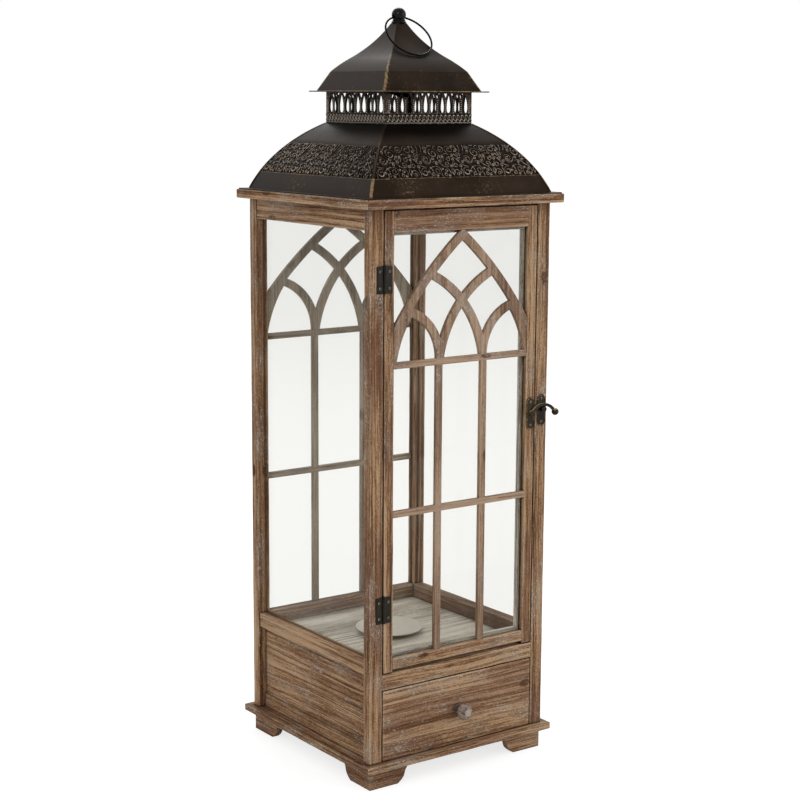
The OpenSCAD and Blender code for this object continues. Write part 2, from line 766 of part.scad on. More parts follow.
module cap_section() {
    intersection() {
        polygon([skirt_foot, crease, crease - skirt_in, skirt_foot - skirt_in]);
        translate([0, cap_z]) square([2 * cap_r, cap_h]);
    }
    intersection() {
        ring_2d(belly_centre, cap_r - roof_t, cap_r);
        wedge_2d(belly_centre, 90 - cap_pitch, turn_angle, 2 * cap_r);
    }
    intersection() {
        ring_2d(hollow_centre, cap_neck_r, cap_neck_r + roof_t);
        wedge_2d(hollow_centre, turn_angle + 180, 90, 2 * cap_neck_r);
        translate([0, cap_z]) square([2 * cap_r, cap_h]);
    }
}

module roof_cap() color(bronze) difference() {
    for (i = [0:3]) quarter(i, cap_z, cap_top_z, 2 * cap_r, mitre_gap) {
        along_x(4 * cap_r) cap_section();
        slab([-cap_flange_half, cap_flange_half], [-cap_flange_half, -gallery_half + seat_w],
             [cap_z, cap_z + roof_t]);
        slab([-cap_top, cap_top], [-cap_top, 0], [cap_top_z - roof_t, cap_top_z]);
    }
    translate([0, 0, cap_top_z - stem_len]) cylinder(r = stem_r + pin_play, h = 2 * stem_len);
}

// ---- finial and ring ----

// the hole leaves room for the bend of the wire inside the ball
ring_hole_r = wire_r + ball_r * ball_r / (2 * ring_r) + fit;

// a disc of radius r with a half-round edge, standing on z
module bead_disc(r, z) translate([0, 0, z]) rotate_extrude() {
    translate([r - bead_r, bead_r]) circle(r = bead_r);
    square([r - bead_r, 2 * bead_r]);
}

// the ball on its neck of two beads, drilled across for the ring
module finial() color(bronze) {
    difference() {
        union() {
            translate([0, 0, ball_z]) sphere(r = ball_r);
            bead_disc(ball_r * 1.04, cap_top_z);
            bead_disc(ball_r * 0.9, cap_top_z + 2 * bead_r - weld);
            translate([0, 0, cap_top_z]) cylinder(r = ball_r * 0.7, h = ball_z - cap_top_z - ball_r * 0.4);
        }
        translate([-2 * ball_r, 0, ring_z]) rotate([0, 90, 0]) cylinder(r = ring_hole_r, h = 4 * ball_r);
    }
    translate([0, 0, cap_top_z - stem_len]) cylinder(r = stem_r, h = stem_len + weld);
}

// the ring leans on the cap: its lowest point lies ring_rest_gap off the belly or, higher up, off the neck
ring_off = wire_r + ring_rest_gap;
foot_on_belly = corner_on_right(belly_centre, [0, ring_z], cap_r + ring_off, 2 * ring_r);
foot_on_neck = corner_on_right([0, ring_z], hollow_centre, 2 * ring_r, cap_neck_r - ring_off);
ring_foot = angle_to(belly_centre, foot_on_belly) < turn_angle ? foot_on_belly : foot_on_neck;
ring_lean = atan2(ring_z - ring_foot.y, ring_foot.x);

module carry_ring() color(iron)
    translate([0, 0, ring_z]) rotate([ring_lean, 0, 0]) translate([0, -ring_r, 0])
        rotate_extrude() translate([ring_r, 0]) circle(r = wire_r);

// ---- candle dish ----

module candle_dish() color(steel) translate([dish_x, dish_y, floor_z]) {
    foot_r = dish_flat_r * 0.7;
    hole_r = dish_screw_r + pin_play;
    seat = dish_foot_h;
    under = seat - dish_t;
    rotate_extrude() polygon([
        [hole_r, dish_dimple_z - dish_t], [dish_dimple_r, dish_dimple_z - dish_t],
        [dish_dimple_r + dish_t, under], [foot_r - dish_t, under], [foot_r - dish_t, 0], [foot_r, 0],
        [foot_r, under], [dish_flat_r, under], [dish_r, dish_h - dish_t],
        [dish_r, dish_h], [dish_flat_r, seat], [dish_dimple_r, seat],
        [dish_dimple_r - dish_t / 2, dish_dimple_z], [hole_r, dish_dimple_z]
    ]);
}

dish_screw_r = 1.6;
dish_screw_bite = floor_t - 1;
dish_screw_head = 0.8;
dish_dimple_r = 2.5 * dish_screw_r;
dish_dimple_z = dish_foot_h - dish_screw_head - fit;

module dish_screw_shank(play = 0)
    translate([dish_x, dish_y, floor_z - dish_screw_bite])
        cylinder(r = dish_screw_r + play, h = dish_screw_bite + dish_dimple_z);

module dish_screw() color(steel) {
    dish_screw_shank();
    translate([dish_x, dish_y, floor_z + dish_dimple_z])
        cylinder(r1 = dish_screw_r * 2, r2 = dish_screw_r, h = dish_screw_head);
}

// ---- fasteners ----

module frame_nails() color(iron) {
    hinge_nails(-1);
    latch_nails(catch_x, catch_plate_z);
}

module door_nails() color(iron) {
    hinge_nails(1);
    latch_nails(latch_x, door_plate_z);
}

base_plate();
bracket_foot(-1, -1);  // foot_front_left
bracket_foot(1, -1);  // foot_front_right
bracket_foot(-1, 1);  // foot_back_left
bracket_foot(1, 1);  // foot_back_right
post(-1, -1);  // post_front_left
post(1, -1);  // post_front_right
post(-1, 1);  // post_back_left
post(1, 1);  // post_back_right
side_panel(-1);  // side_panel_left
side_panel(1);  // side_panel_right
back_panel();
panel_strips();
front_rail();
side_rail(-1, sill_range, sill_groove);  // sill_rail_left
side_rail(1, sill_range, sill_groove);  // sill_rail_right
back_rail(sill_range, sill_groove);  // sill_rail_back
side_rail(-1, head_range, head_groove);  // head_rail_left
side_rail(1, head_range, head_groove);  // head_rail_right
back_rail(head_range, head_groove);  // head_rail_back
floor_board();
floor_cleats();
glass_side(-1);  // glass_left
glass_side(1);  // glass_right
glass_back();
back_tracery();
cornice_frame();
roof_panel(0);  // roof_front
roof_panel(1);  // roof_right
roof_panel(2);  // roof_back
roof_panel(3);  // roof_left
gallery_band();
roof_cap();
finial();
candle_dish();
dish_screw();
hinge_leaves(-1);  // hinge_post_leaves
hinge_pins();
catch_plate();
frame_nails();
door_stile(-1);  // door_stile_left
door_stile(1);  // door_stile_right
door_rail_top();
door_rail_bottom();
door_tracery();
door_glass();
door_beads();
hinge_leaves(1);  // hinge_door_leaves
latch_plate();
door_nails();
latch_lever();
drawer_front();
drawer_side(-1);  // drawer_side_left
drawer_side(1);  // drawer_side_right
drawer_back();
drawer_bottom();
drawer_knob();
knob_screw();
carry_ring();
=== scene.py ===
# %% [markdown]
# # A wooden candle lantern with a two-tier metal roof
# This lesson dresses a lantern that already exists as a plain solid model: posts, a glazed
# chamber with a tracery door, a drawer and a sheet-metal roof. The solid model gives every size
# and every joint. Here each part gets the edges, grain, relief and wear that make it look real.
# The first cell loads that model as a fixed frame, and keeps its overall box to print at the
# end.

# %% Load the frame
import json
import math

import bmesh
import bpy
import numpy as np
from mathutils import Matrix, Vector


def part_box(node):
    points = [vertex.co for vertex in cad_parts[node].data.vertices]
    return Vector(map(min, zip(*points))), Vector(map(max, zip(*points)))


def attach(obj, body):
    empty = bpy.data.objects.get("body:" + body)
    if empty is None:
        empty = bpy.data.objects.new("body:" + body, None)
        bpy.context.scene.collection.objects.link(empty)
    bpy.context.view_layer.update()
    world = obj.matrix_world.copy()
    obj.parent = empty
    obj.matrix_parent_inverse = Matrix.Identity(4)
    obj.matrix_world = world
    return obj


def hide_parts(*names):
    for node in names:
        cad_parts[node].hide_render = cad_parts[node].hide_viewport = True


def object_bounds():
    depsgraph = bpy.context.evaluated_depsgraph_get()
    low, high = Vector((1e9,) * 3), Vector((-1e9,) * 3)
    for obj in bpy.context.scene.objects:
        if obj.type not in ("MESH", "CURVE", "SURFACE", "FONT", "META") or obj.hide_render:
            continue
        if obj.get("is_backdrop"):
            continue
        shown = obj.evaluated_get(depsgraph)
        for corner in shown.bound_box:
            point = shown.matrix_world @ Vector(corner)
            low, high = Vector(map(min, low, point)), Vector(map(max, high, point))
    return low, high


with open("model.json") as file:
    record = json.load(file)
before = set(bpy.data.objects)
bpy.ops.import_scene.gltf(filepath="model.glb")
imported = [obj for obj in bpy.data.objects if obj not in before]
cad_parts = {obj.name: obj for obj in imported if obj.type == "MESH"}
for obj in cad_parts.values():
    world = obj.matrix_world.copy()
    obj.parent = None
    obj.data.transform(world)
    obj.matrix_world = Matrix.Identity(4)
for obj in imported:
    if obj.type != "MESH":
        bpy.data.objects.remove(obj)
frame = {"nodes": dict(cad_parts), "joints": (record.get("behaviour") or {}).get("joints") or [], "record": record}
solid_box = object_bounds()
bodies = frame["record"]["behaviour"]["bodies"]
body_of = {node: body for body, nodes in bodies.items() for node in nodes}
MM = 0.001

# %% [markdown]
# ## The camera
# The lantern is seen from the front left and from a little above, with a long lens, so its
# uprights stay almost parallel. A camera is aimed with three directions: back (away from the
# subject), right and up. They are worked out from an azimuth and an elevation, and a third of a
# degree of roll.

# %% Camera
AZIMUTH, ELEVATION, ROLL = -35.748, 9.767, 0.301  # degrees
EYE = (-1.05927, -1.47699, 0.68020)  # metres
LENS, SENSOR, FAR = 79.78, 36, 50


def in_scene(name, data):
    """An object with this name and data, linked into the scene."""
    thing = bpy.data.objects.new(name, data)
    bpy.context.scene.collection.objects.link(thing)
    return thing


def look_from(azimuth, elevation, roll):
    """Back is the azimuth turned about Z and lifted by the elevation.

    Right and up follow by cross products, then turn by the roll.
    """
    a, e, r = np.radians([azimuth, elevation, roll])
    back = np.array([np.sin(a) * np.cos(e), -np.cos(a) * np.cos(e), np.sin(e)])
    right = np.cross([0, 0, 1], back)
    right /= np.linalg.norm(right)
    up = np.cross(back, right)
    turned_right = np.cos(r) * right + np.sin(r) * up
    turned_up = np.cos(r) * up - np.sin(r) * right
    return np.stack([turned_right, turned_up, back], axis=1)


camera = in_scene("camera", bpy.data.cameras.new("camera"))
camera.data.sensor_width = SENSOR
camera.data.lens = LENS
camera.data.clip_end = FAR
pose = np.eye(4)
pose[:3, :3] = look_from(AZIMUTH, ELEVATION, ROLL)
pose[:3, 3] = EYE
camera.matrix_world = Matrix(pose.tolist())
bpy.context.scene.camera = camera
print("the camera stands", round(float(np.linalg.norm(EYE)), 2), "m from the middle of the base")

# %% [markdown]
# ## Adding nodes
# Every material below is a small network of nodes. One helper adds a node, sets its options,
# fills or links its inputs and hands back one output, so a network reads like a list of steps.
# Colours are written as the hex values a painter would pick on a screen. The renderer works in
# linear light, so one function turns them: each channel goes through the sRGB curve.

# %% Node and colour helpers
def linear(hex_colour):
    """Each sRGB channel c becomes c / 12.92 if dark, otherwise ((c + 0.055) / 1.055) ** 2.4."""
    c = np.array([int(hex_colour[i:i + 2], 16) for i in (1, 3, 5)]) / 255
    return (*np.where(c <= 0.04045, c / 12.92, ((c + 0.055) / 1.055) ** 2.4).tolist(), 1.0)


def add(tree, kind, inputs=(), out=0, **settings):
    """Adds a ShaderNode of this kind. Inputs are values, or outputs of other nodes to link."""
    node = tree.nodes.new("ShaderNode" + kind)
    for key, value in settings.items():
        setattr(node, key, value)
    for key, value in dict(inputs).items():
        if isinstance(value, bpy.types.NodeSocket):
            tree.links.new(value, node.inputs[key])
        else:
            node.inputs[key].default_value = value
    return node.outputs[out] if len(node.outputs) else node


def new_material(name):
    """An empty material with its node tree, ready for add()."""
    material = bpy.data.materials.new(name)
    material.use_nodes = True
    material.node_tree.nodes.clear()
    return material, material.node_tree


def ramp(tree, factor, stops):
    """A colour ramp through (position, hex colour) stops."""
    colour = add(tree, "ValToRGB", {0: factor})
    band = colour.node.color_ramp
    for place, hex_colour in stops[1:-1]:
        band.elements.new(place)
    for element, (place, hex_colour) in zip(band.elements, stops):
        element.position = place
        element.color = linear(hex_colour)
    return colour


print("mid brown", [round(c, 3) for c in linear("#7b5c45")[:3]])

# %% [markdown]
# ## Floor, background and light
# The lantern stands on a plain white floor in a bright studio. The floor has to read as white in
# the picture and still keep a soft shadow, so it is a white matt surface with some light of its
# own that only the eye (and mirrors and glass) can see. The world is a soft even light; three
# large lamps shape it a little. They are kept low enough for a painted colour to come out about
# as it was written.

# %% Studio floor and world
FLOOR = 12  # metres from the middle to each edge, past every view


def seen_directly(tree):
    """1 for rays from the camera, a mirror or a pane of glass, otherwise 0."""
    seen = add(tree, "LightPath", out="Is Camera Ray")
    path = seen.node
    for kind in ("Is Glossy Ray", "Is Transmission Ray"):
        seen = add(tree, "Math", {0: seen, 1: path.outputs[kind]}, operation="MAXIMUM")
    return seen


paper, t = new_material("matt_white_studio_floor")
matt = add(t, "BsdfDiffuse", {"Color": linear("#e6e6e6")})
faint = add(t, "BsdfDiffuse", {"Color": linear("#a8a8a8")})
glow = add(t, "Emission", {"Color": (1, 1, 1, 1), "Strength": 0.75})
lit = add(t, "AddShader", {0: faint, 1: glow})
add(t, "OutputMaterial", {0: add(t, "MixShader", {0: seen_directly(t), 1: matt, 2: lit})})
mesh = bpy.data.meshes.new("studio_floor")
corners = FLOOR * np.array([(-1, -1, 0), (1, -1, 0), (1, 1, 0), (-1, 1, 0)])
mesh.from_pydata(corners, [], [(0, 1, 2, 3)])
mesh.materials.append(paper)
in_scene("studio_floor", mesh)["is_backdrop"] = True

world = bpy.data.worlds.new("studio")
bpy.context.scene.world = world
world.use_nodes = True
t = world.node_tree
t.nodes.clear()
soft = add(t, "Background", {"Color": (1, 1, 1, 1), "Strength": 0.72})
white = add(t, "Background", {"Color": (1, 1, 1, 1), "Strength": 1.0})
add(t, "OutputWorld", {0: add(t, "MixShader", {0: seen_directly(t), 1: soft, 2: white})})
bpy.context.scene.view_settings.view_transform = "Standard"
print("a floor", 2 * FLOOR, "m wide and an even world")

# %% Soft boxes
MIDDLE = Vector((0, 0, 0.4))
# place and size in metres, power in watts
SOFT_BOXES = {
    "key_soft_box": ((-2.2, -1.6, 2.2), 1.6, 26),
    "fill_soft_box": ((1.9, -2.4, 1.2), 1.8, 22),
    "top_soft_box": ((0.9, 1.5, 2.5), 1.4, 22),
}
for name, (place, size, power) in SOFT_BOXES.items():
    light = bpy.data.lights.new(name, "AREA")
    light.size = size
    light.energy = power
    lamp = in_scene(name, light)
    lamp.location = place
    lamp.rotation_euler = (MIDDLE - Vector(place)).to_track_quat("-Z", "Y").to_euler()
print(len(SOFT_BOXES), "soft boxes aim at the middle of the lantern")

# %% [markdown]
# ## Surfaces from arrays
# Every new part here is a loft: a row of rings, each ring a list of points, with quads between
# neighbours. numpy works out all points at once. The helper joins the rings, closes both ends and
# checks the enclosed volume: if it comes out negative, the faces look inwards and all are turned
# round. Parts that belong together are then joined into one mesh, with named attributes that the
# materials can read.

# %% Loft helpers
def loft(rings, attributes=(), closed_path=False):
    """Quads join point u of ring v to u + 1 and to ring v + 1. One flat face closes each end."""
    count, around = rings.shape[:2]
    index = np.arange(count * around).reshape(count, around)
    if closed_path:
        index = np.vstack([index, index[:1]])
    side = np.roll(index, -1, axis=1)
    quads = np.stack([index[:-1], side[:-1], side[1:], index[1:]], axis=-1).reshape(-1, 4)
    ends = [] if closed_path else [index[0, ::-1].tolist(), index[-1].tolist()]
    points = rings.reshape(-1, 3)
    centre = points.mean(axis=0)
    p, q, r, s = (points[quads[:, k]] - centre for k in range(4))
    volume = (p * np.cross(q, r)).sum() + (p * np.cross(r, s)).sum()
    if not closed_path:
        for cap in ends:
            c = points[cap] - centre
            volume += (c[0] * np.cross(c[1:-1], c[2:])).sum()
    faces = quads.tolist() + ends
    if volume < 0:
        faces = [face[::-1] for face in faces]
    attributes = {key: np.asarray(value).reshape(len(points), -1)
                  for key, value in dict(attributes).items()}
    return points, faces, attributes


def together(parts):
    """Points are stacked, and a part's face numbers are raised by the count of points before it."""
    starts = np.cumsum([0] + [len(points) for points, faces, attributes in parts])
    faces = [[i + start for i in face] for (p, part, a), start in zip(parts, starts)
             for face in part]
    attributes = {key: np.vstack([a[key] for p, f, a in parts]) for key in parts[0][2]}
    return np.vstack([p for p, f, a in parts]), faces, attributes


def as_points(*coordinates):
    """Arrays of x, y and z, or of x and y, are stretched to one shape and become points."""
    return np.stack(np.broadcast_arrays(*coordinates), axis=-1)


QUARTER = np.array([[0, -1, 0], [1, 0, 0], [0, 0, 1.0]])


def on_side(rings, turns):
    """Points made for the front, turned by quarter turns about the z axis."""
    return rings @ np.linalg.matrix_power(QUARTER, turns).T


print("one quarter turn takes x to", on_side(np.array([1.0, 0, 0]), 1).tolist())

# %% Meshes and pieces
def read(items, key, width=1, kind=float):
    """One value, or a row of several, for each vertex, face or face corner."""
    values = np.empty(len(items) * width, kind)
    items.foreach_get(key, values)
    return values.reshape(-1, width) if width > 1 else values


def write(mesh, key, values, domain="POINT"):
    """Stores a named number for every vertex or face corner, or a vector if there are three."""
    vector = values.ndim > 1 and values.shape[1] == 3
    layer = mesh.attributes.new(key, "FLOAT_VECTOR" if vector else "FLOAT", domain)
    layer.data.foreach_set("vector" if vector else "value", values.astype(np.float32).ravel())


def mesh_of(name, part):
    """A Blender mesh from points, faces and attributes."""
    points, faces, attributes = part
    mesh = bpy.data.meshes.new(name)
    mesh.from_pydata(points, [], faces)
    for key, values in attributes.items():
        write(mesh, key, values)
    return mesh


def piece(mesh, material, body, stands_for=(), sharp=42):
    """A finished piece: smooth faces with sharp folds, a material and a body to ride on."""
    thing = in_scene(mesh.name, mesh)
    mesh.materials.clear()
    mesh.materials.append(material)
    mesh.shade_smooth()
    mesh.set_sharp_from_angle(angle=math.radians(sharp))
    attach(thing, body)
    if stands_for:
        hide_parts(*stands_for)
    return thing


square = np.array([(0, 0, 0), (1, 0, 0), (1, 1, 0), (0, 1, 0.0)])
print("a loft of two squares has", len(loft(np.stack([square, square + (0, 0, 1)]))[1]), "faces")

# %% [markdown]
# ## Weathered wood
# The timber is fir, brushed so that the soft wood between the year rings wears away, stained
# brown, then rubbed with a thin white wash that stays in the pores. The eye sees long straight
# streaks along the grain, paler and greyer patches, rubbed edges and a dull surface. The pale
# edges also stand for the light they catch, as a painted highlight, and the corners between parts
# get a painted shade. Each board carries its own grain coordinates in millimetres: x across, y
# through and z along. So one network serves every board, whichever way it lies. Streaks are 2 mm
# wide and run on for 260 mm, bands of tone are 13 mm wide, year rings 5 mm apart, and a knot
# appears about once in 160 mm.

# %% Wood material
# the dark corner colour is painted shade with some grime, laid where ambient occlusion finds corners
SHADE_AND_GRIME = "#2a1a10"
WOOD_SHADE_REACH = 3.5 * MM
RING_WIDTH = 5  # millimetres from one year ring to the next


def stretched(t, vector, across, along, detail, roughness=0.55):
    """Noise on grain coordinates divided by a width across and a length along, in millimetres."""
    size = (1 / across, 1 / across, 1 / along)
    place = add(t, "VectorMath", {0: vector, 1: size}, operation="MULTIPLY")
    noise = {"Vector": place, "Scale": 1.0, "Detail": detail, "Roughness": roughness}
    return add(t, "TexNoise", noise, out="Fac")


def weathered_wood(name, dark, brown, pale, red_brown, haze, wash, thick, bare, corner_shade=0.9):
    """Streaks, bands, year rings, fibres, sand marks and knots choose between three browns.

    Haze, red-brown patches, white wash, pale edges (rubbed wood and a painted highlight) and a dark
    corner colour (painted shade with some soiling) lie over them, one after the other.
    """
    material, t = new_material(name)
    grain = add(t, "Attribute", attribute_name="grain", out="Vector")
    edge = add(t, "Attribute", attribute_name="edge", out="Fac")
    tone = add(t, "Attribute", attribute_name="tone", out="Fac")
    drift = stretched(t, grain, 60, 200, 1.0)
    bent = add(t, "VectorMath", {0: drift, 1: (9, 0, 0), 2: grain}, operation="MULTIPLY_ADD")
    streak = stretched(t, bent, 1.8, 260, 4.0, 0.70)
    band = stretched(t, bent, 13, 450, 1.0)
    fibre = stretched(t, bent, 0.8, 24, 2.0, 0.6)
    slow = stretched(t, grain, 55, 130, 1.0)
    sand = stretched(t, grain, 0.8, 1.8, 2.0, 0.7)
    # year rings: the distance from the pith in ring widths, taken through a sine
    turn = 2 * math.pi / RING_WIDTH
    across = add(t, "VectorMath", {0: bent, 1: (turn, turn, 0)}, operation="MULTIPLY")
    radius = add(t, "VectorMath", {0: across}, out="Value", operation="LENGTH")
    wave = add(t, "Math", {0: radius}, operation="SINE")
    ring = add(t, "Math", {0: wave, 1: 0.5, 2: 0.5}, operation="MULTIPLY_ADD")
    # a knot is the neighbourhood of a scattered point, stretched along the grain
    cell = add(t, "VectorMath", {0: bent, 1: (1 / 90, 1 / 60, 1 / 160)}, operation="MULTIPLY")
    parts = add(t, "SeparateXYZ", {0: cell}).node.outputs
    flat = add(t, "CombineXYZ", {0: add(t, "Math", {0: parts[0], 1: parts[1]}), 1: parts[2]})
    far = add(t, "TexVoronoi", {"Vector": flat, "Scale": 1.0}, out="Distance",
              voronoi_dimensions="2D")
    knot = add(t, "MapRange", {0: far, 1: 0.018, 2: 0.055, 3: 1.0, 4: 0.0},
               interpolation_type="SMOOTHSTEP")
    mix = -0.32
    for layer, weight in ((streak, 0.50), (sand, 0.30), (band, 0.22), (slow, 0.22),
                          (ring, 0.06), (fibre, 0.34), (tone, 0.10), (knot, -0.25)):
        mix = add(t, "Math", {0: layer, 1: weight, 2: mix}, operation="MULTIPLY_ADD")
    # the wash is a thin grey haze in patches, and white where it fills the pores
    cloudy = stretched(t, grain, 22, 60, 4.0, 0.6)
    speck = stretched(t, grain, 0.9, 2.6, 1.0)
    patchy = add(t, "Math", {0: cloudy, 1: 0.65, 2: 0.19}, operation="MULTIPLY_ADD")
    near_edge = add(t, "Math", {0: edge, 1: 0.055}, operation="MULTIPLY")
    pores = add(t, "Math", {0: speck, 1: patchy, 2: near_edge}, operation="MULTIPLY_ADD")
    misty, filled = (add(t, "MapRange", {0: noise, 1: start, 2: end, 3: 0.0, 4: thick},
                         interpolation_type="SMOOTHSTEP")
                     for noise, start, end in ((cloudy, 0.45, 0.72), (pores, 0.33, 0.41)))
    ruddy = add(t, "MapRange", {0: slow, 1: 0.50, 2: 0.36, 3: 0.0, 4: 0.35})
    # rubbed edges show bare wood here and there, a pale line that is also a painted highlight
    broken = add(t, "MapRange", {0: fibre, 1: 0.40, 2: 0.64})
    rubbed = add(t, "Math", {0: edge, 1: broken}, operation="MULTIPLY")
    edge_wear_and_highlight = add(t, "Math", {0: rubbed, 1: 0.6}, operation="MULTIPLY")
    # painted shade, with some stain and grime, darkens the corners between parts
    open_sky = add(t, "AmbientOcclusion", {"Distance": WOOD_SHADE_REACH}, out="AO", samples=8)
    shade_and_grime_share = add(t, "MapRange", {0: open_sky, 1: 0.30, 2: 0.85, 3: corner_shade, 4: 0.0})
    colour = ramp(t, mix, [(0.40, dark), (0.50, brown), (0.60, pale)])
    for share, coat in ((misty, haze), (ruddy, red_brown), (filled, wash), (edge_wear_and_highlight, bare),
                        (shade_and_grime_share, SHADE_AND_GRIME)):
        colour = add(t, "Mix", {0: share, 6: colour, 7: linear(coat)}, out=2, data_type="RGBA")
    rough = add(t, "MapRange", {0: streak, 1: 0.3, 2: 0.7, 3: 0.86, 4: 0.66})
    bump = add(t, "Bump", {"Strength": 0.4, "Distance": 0.6 * MM, "Height": mix})
    shader = add(t, "BsdfPrincipled", {"Base Color": colour, "Roughness": rough, "Normal": bump,
                                       "Specular IOR Level": 0.15})
    add(t, "OutputMaterial", {0: shader})
    return material


# the case: fir with a brown stain under a thin white wash
brown_fir = weathered_wood("brushed_fir_brown_stain_white_wash", "#422a15", "#79573b", "#ab8e6f",
                           "#654437", "#85776a", "#c8bcab", 0.5, "#b3987a")
# the door's thin bars: greyer, with only a little painted corner shade next to the glass
bar_fir = weathered_wood("brushed_fir_thin_bars_grey_brown", "#523d2e", "#7f6550", "#a28a74",
                         "#745b4d", "#877b70", "#c8bcab", 0.5, "#a8917a", corner_shade=0.15)
# the back's thin bars: paler still, with very little painted corner shade
back_bar_fir = weathered_wood("brushed_fir_thin_bars_pale_grey", "#695848", "#988676", "#b9ac9d",
                              "#826f60", "#9c9288", "#d0c6b8", 0.5, "#bcae9e", corner_shade=0.1)
# the chamber's floor and the glazing beads: bare grey fir under a thick white wash
grey_fir = weathered_wood("brushed_fir_grey_white_wash", "#7d7267", "#bab2a6", "#dad4ca",
                          "#a1988c", "#cdc7bd", "#efebe4", 0.75, "#d4cbbd", corner_shade=0.3)
print("wood materials:", brown_fir.name, bar_fir.name, back_bar_fir.name, "and", grey_fir.name)

# %% [markdown]
# ## Boards
# A planed board isn't a perfect box. Its edges are rubbed round, a little more here and less
# there, and that thin rounded line is what catches the light at every joint. A board is lofted as
# rounded rectangles along its length. The rings at its ends shrink along a quarter circle, which
# rounds the ends too. An extra loop of points just inside each edge keeps the worn colour, which
# is also a painted highlight, near the edge.

# %% Board loft
WAVE = 180 * MM
STATION = 11 * MM


def ripple(x, seed):
    """The mean of three sines of x, 180, 78 and 44 mm long, whose starts depend on the seed."""
    starts = 43.7 * np.sin(seed * np.array([12.9, 78.2, 37.7]) + 1)
    return np.sin(2 * np.pi * (x[..., None] / WAVE * np.array([1, 2.3, 4.1]) + starts)).mean(-1)


def board(low, high, seed, along=None, radius=0.9 * MM, tone=0.0, quarter_turns=0, mitre=False):
    """Corner arcs of a rounded rectangle, whose radius ripples along the board, from end to end.

    A point is its side's half width less the radius, plus the radius times the cosine or sine of
    its angle. With mitre, the length shrinks with the distance from the outer edge, as at the
    corner of a picture frame.
    """
    low, high = np.array(low), np.array(high)
    size = high - low
    along = int(np.argmax(size)) if along is None else along
    wide, thick = sorted((axis for axis in range(3) if axis != along), key=lambda axis: -size[axis])
    if mitre:
        wide, thick = 1, 2
    a, b, c = size[wide] / 2, size[thick] / 2, size[along] / 2
    radius = min(radius, 0.35 * b)
    margin = min(1.2 * MM, 0.3 * b)
    # for every point: signs of its corner, direction of its arc, and which way its margin goes
    turn = np.radians([0, 30, 60, 90])
    sw, st = np.repeat([1, -1, -1, 1], 6), np.repeat([1, 1, -1, -1], 6)
    first = np.stack([np.r_[1, np.cos(turn), 0], np.r_[0, np.sin(turn), 1],
                      np.r_[0, 0, 0, 0, 0, 1], np.r_[1, 0, 0, 0, 0, 0]])
    arcs = np.concatenate([first, first[:, ::-1], first, first[:, ::-1]], axis=1)
    cos_w, sin_t, margin_w, margin_t = arcs
    on_edge = np.tile([0, 0.5, 1, 1, 0.5, 0], 4)
    # stations along the board, and how far each ring is drawn in
    steps = max(4, int(2 * c / STATION))
    inner = np.linspace(-1, 1, steps) * (c - radius - margin)
    tip = c - radius + radius * np.sin(turn)
    stations = np.concatenate([[-c], -tip[::-1], inner, tip, [c]])
    draw = radius * (1 - np.cos(turn))
    deepest = [radius + margin]
    drawn = np.concatenate([deepest, draw[::-1], np.zeros(steps), draw, deepest])
    end_edge = np.concatenate([[0], [1, 1, 1, 0.5], np.zeros(steps), [0.5, 1, 1, 1], [0]])
    corner = np.repeat(np.arange(4), 6)
    wavy = np.stack([ripple(stations, seed + k) for k in range(4)], axis=1)[:, corner]
    r = np.maximum(radius * (1 + 0.45 * wavy) - drawn[:, None], 0.05 * MM)
    r = np.minimum(r, 0.9 * (b - drawn[:, None]))
    w = sw * (a - drawn[:, None] - r * (1 - cos_w) - margin * margin_w)
    h = st * (b - drawn[:, None] - r * (1 - sin_t) - margin * margin_t)
    l = stations[:, None]
    if mitre:
        l = l * (c - (w + a)) / c
    local = as_points(w, h, l)
    rings = np.empty_like(local)
    rings[..., wide], rings[..., thick], rings[..., along] = w, h, l
    rings += (low + high) / 2
    # each board is cut from another place in the tree
    shift = np.array([46 * math.sin(5.1 * seed), 32 + 18 * math.sin(3.7 * seed), 211 * seed])
    edge = np.maximum(on_edge[None, :], end_edge[:, None])
    edge[[0, -1]] = 0
    return loft(on_side(rings, quarter_turns),
                {"grain": local / MM + shift, "edge": edge, "tone": np.full(w.shape, tone)})


def wooden(name, parts, material=brown_fir):
    """A piece of one or more boards that stands for the node of the same name."""
    mesh = mesh_of(name + "_wood", together(parts))
    piece(mesh, material, body_of[name], (name,))
    print(f"{mesh.name}: {len(mesh.polygons)} faces")


print("a board has a ring about every", round(STATION / MM), "mm")

# %% [markdown]
# ## The plain boards
# Most timber parts are single boards, so one loop makes them all from the boxes of their nodes. A
# table gives each its tone, lighter above 0 and darker below. Two rails are greyer.

# %% Posts, rails, panels and drawer boards
TONES = {
    "post_front_left": -0.25, "post_front_right": 0.05, "post_back_left": 0.3,
    "post_back_right": 0.0, "side_panel_left": 0.2, "side_panel_right": 0.0, "back_panel": 0.0,
    "front_rail": 0.25, "sill_rail_left": 0.1, "sill_rail_right": 0.0, "sill_rail_back": 0.0,
    "head_rail_left": 0.2, "head_rail_right": 0.0, "head_rail_back": 0.0, "door_stile_left": 0.1,
    "door_stile_right": 0.25, "door_rail_top": 0.45, "door_rail_bottom": 0.1,
    "drawer_front": 0.25, "drawer_side_left": 0.0, "drawer_side_right": 0.0, "drawer_back": 0.0,
    "drawer_bottom": 0.0,
}
for number, (name, tone) in enumerate(TONES.items()):
    greyer = name in ("sill_rail_right", "sill_rail_back")
    wooden(name, [board(*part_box(name), number + 1, tone=tone)], bar_fir if greyer else brown_fir)

# %% [markdown]
# ## The whitewashed floor
# The chamber's floor is a wide board of the same fir, but left grey and washed much whiter.

# %% Floor board
floor_grain = board(*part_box("floor_board"), 31, along=0)
wooden("floor_board", [floor_grain], grey_fir)

# %% [markdown]
# ## Framed boards
# The base plate and the cornice are frames of four boards that meet at mitres, like a picture
# frame. The front board is made first, and the other three are its quarter turns. The base plate
# also has a plain board inside its frame.

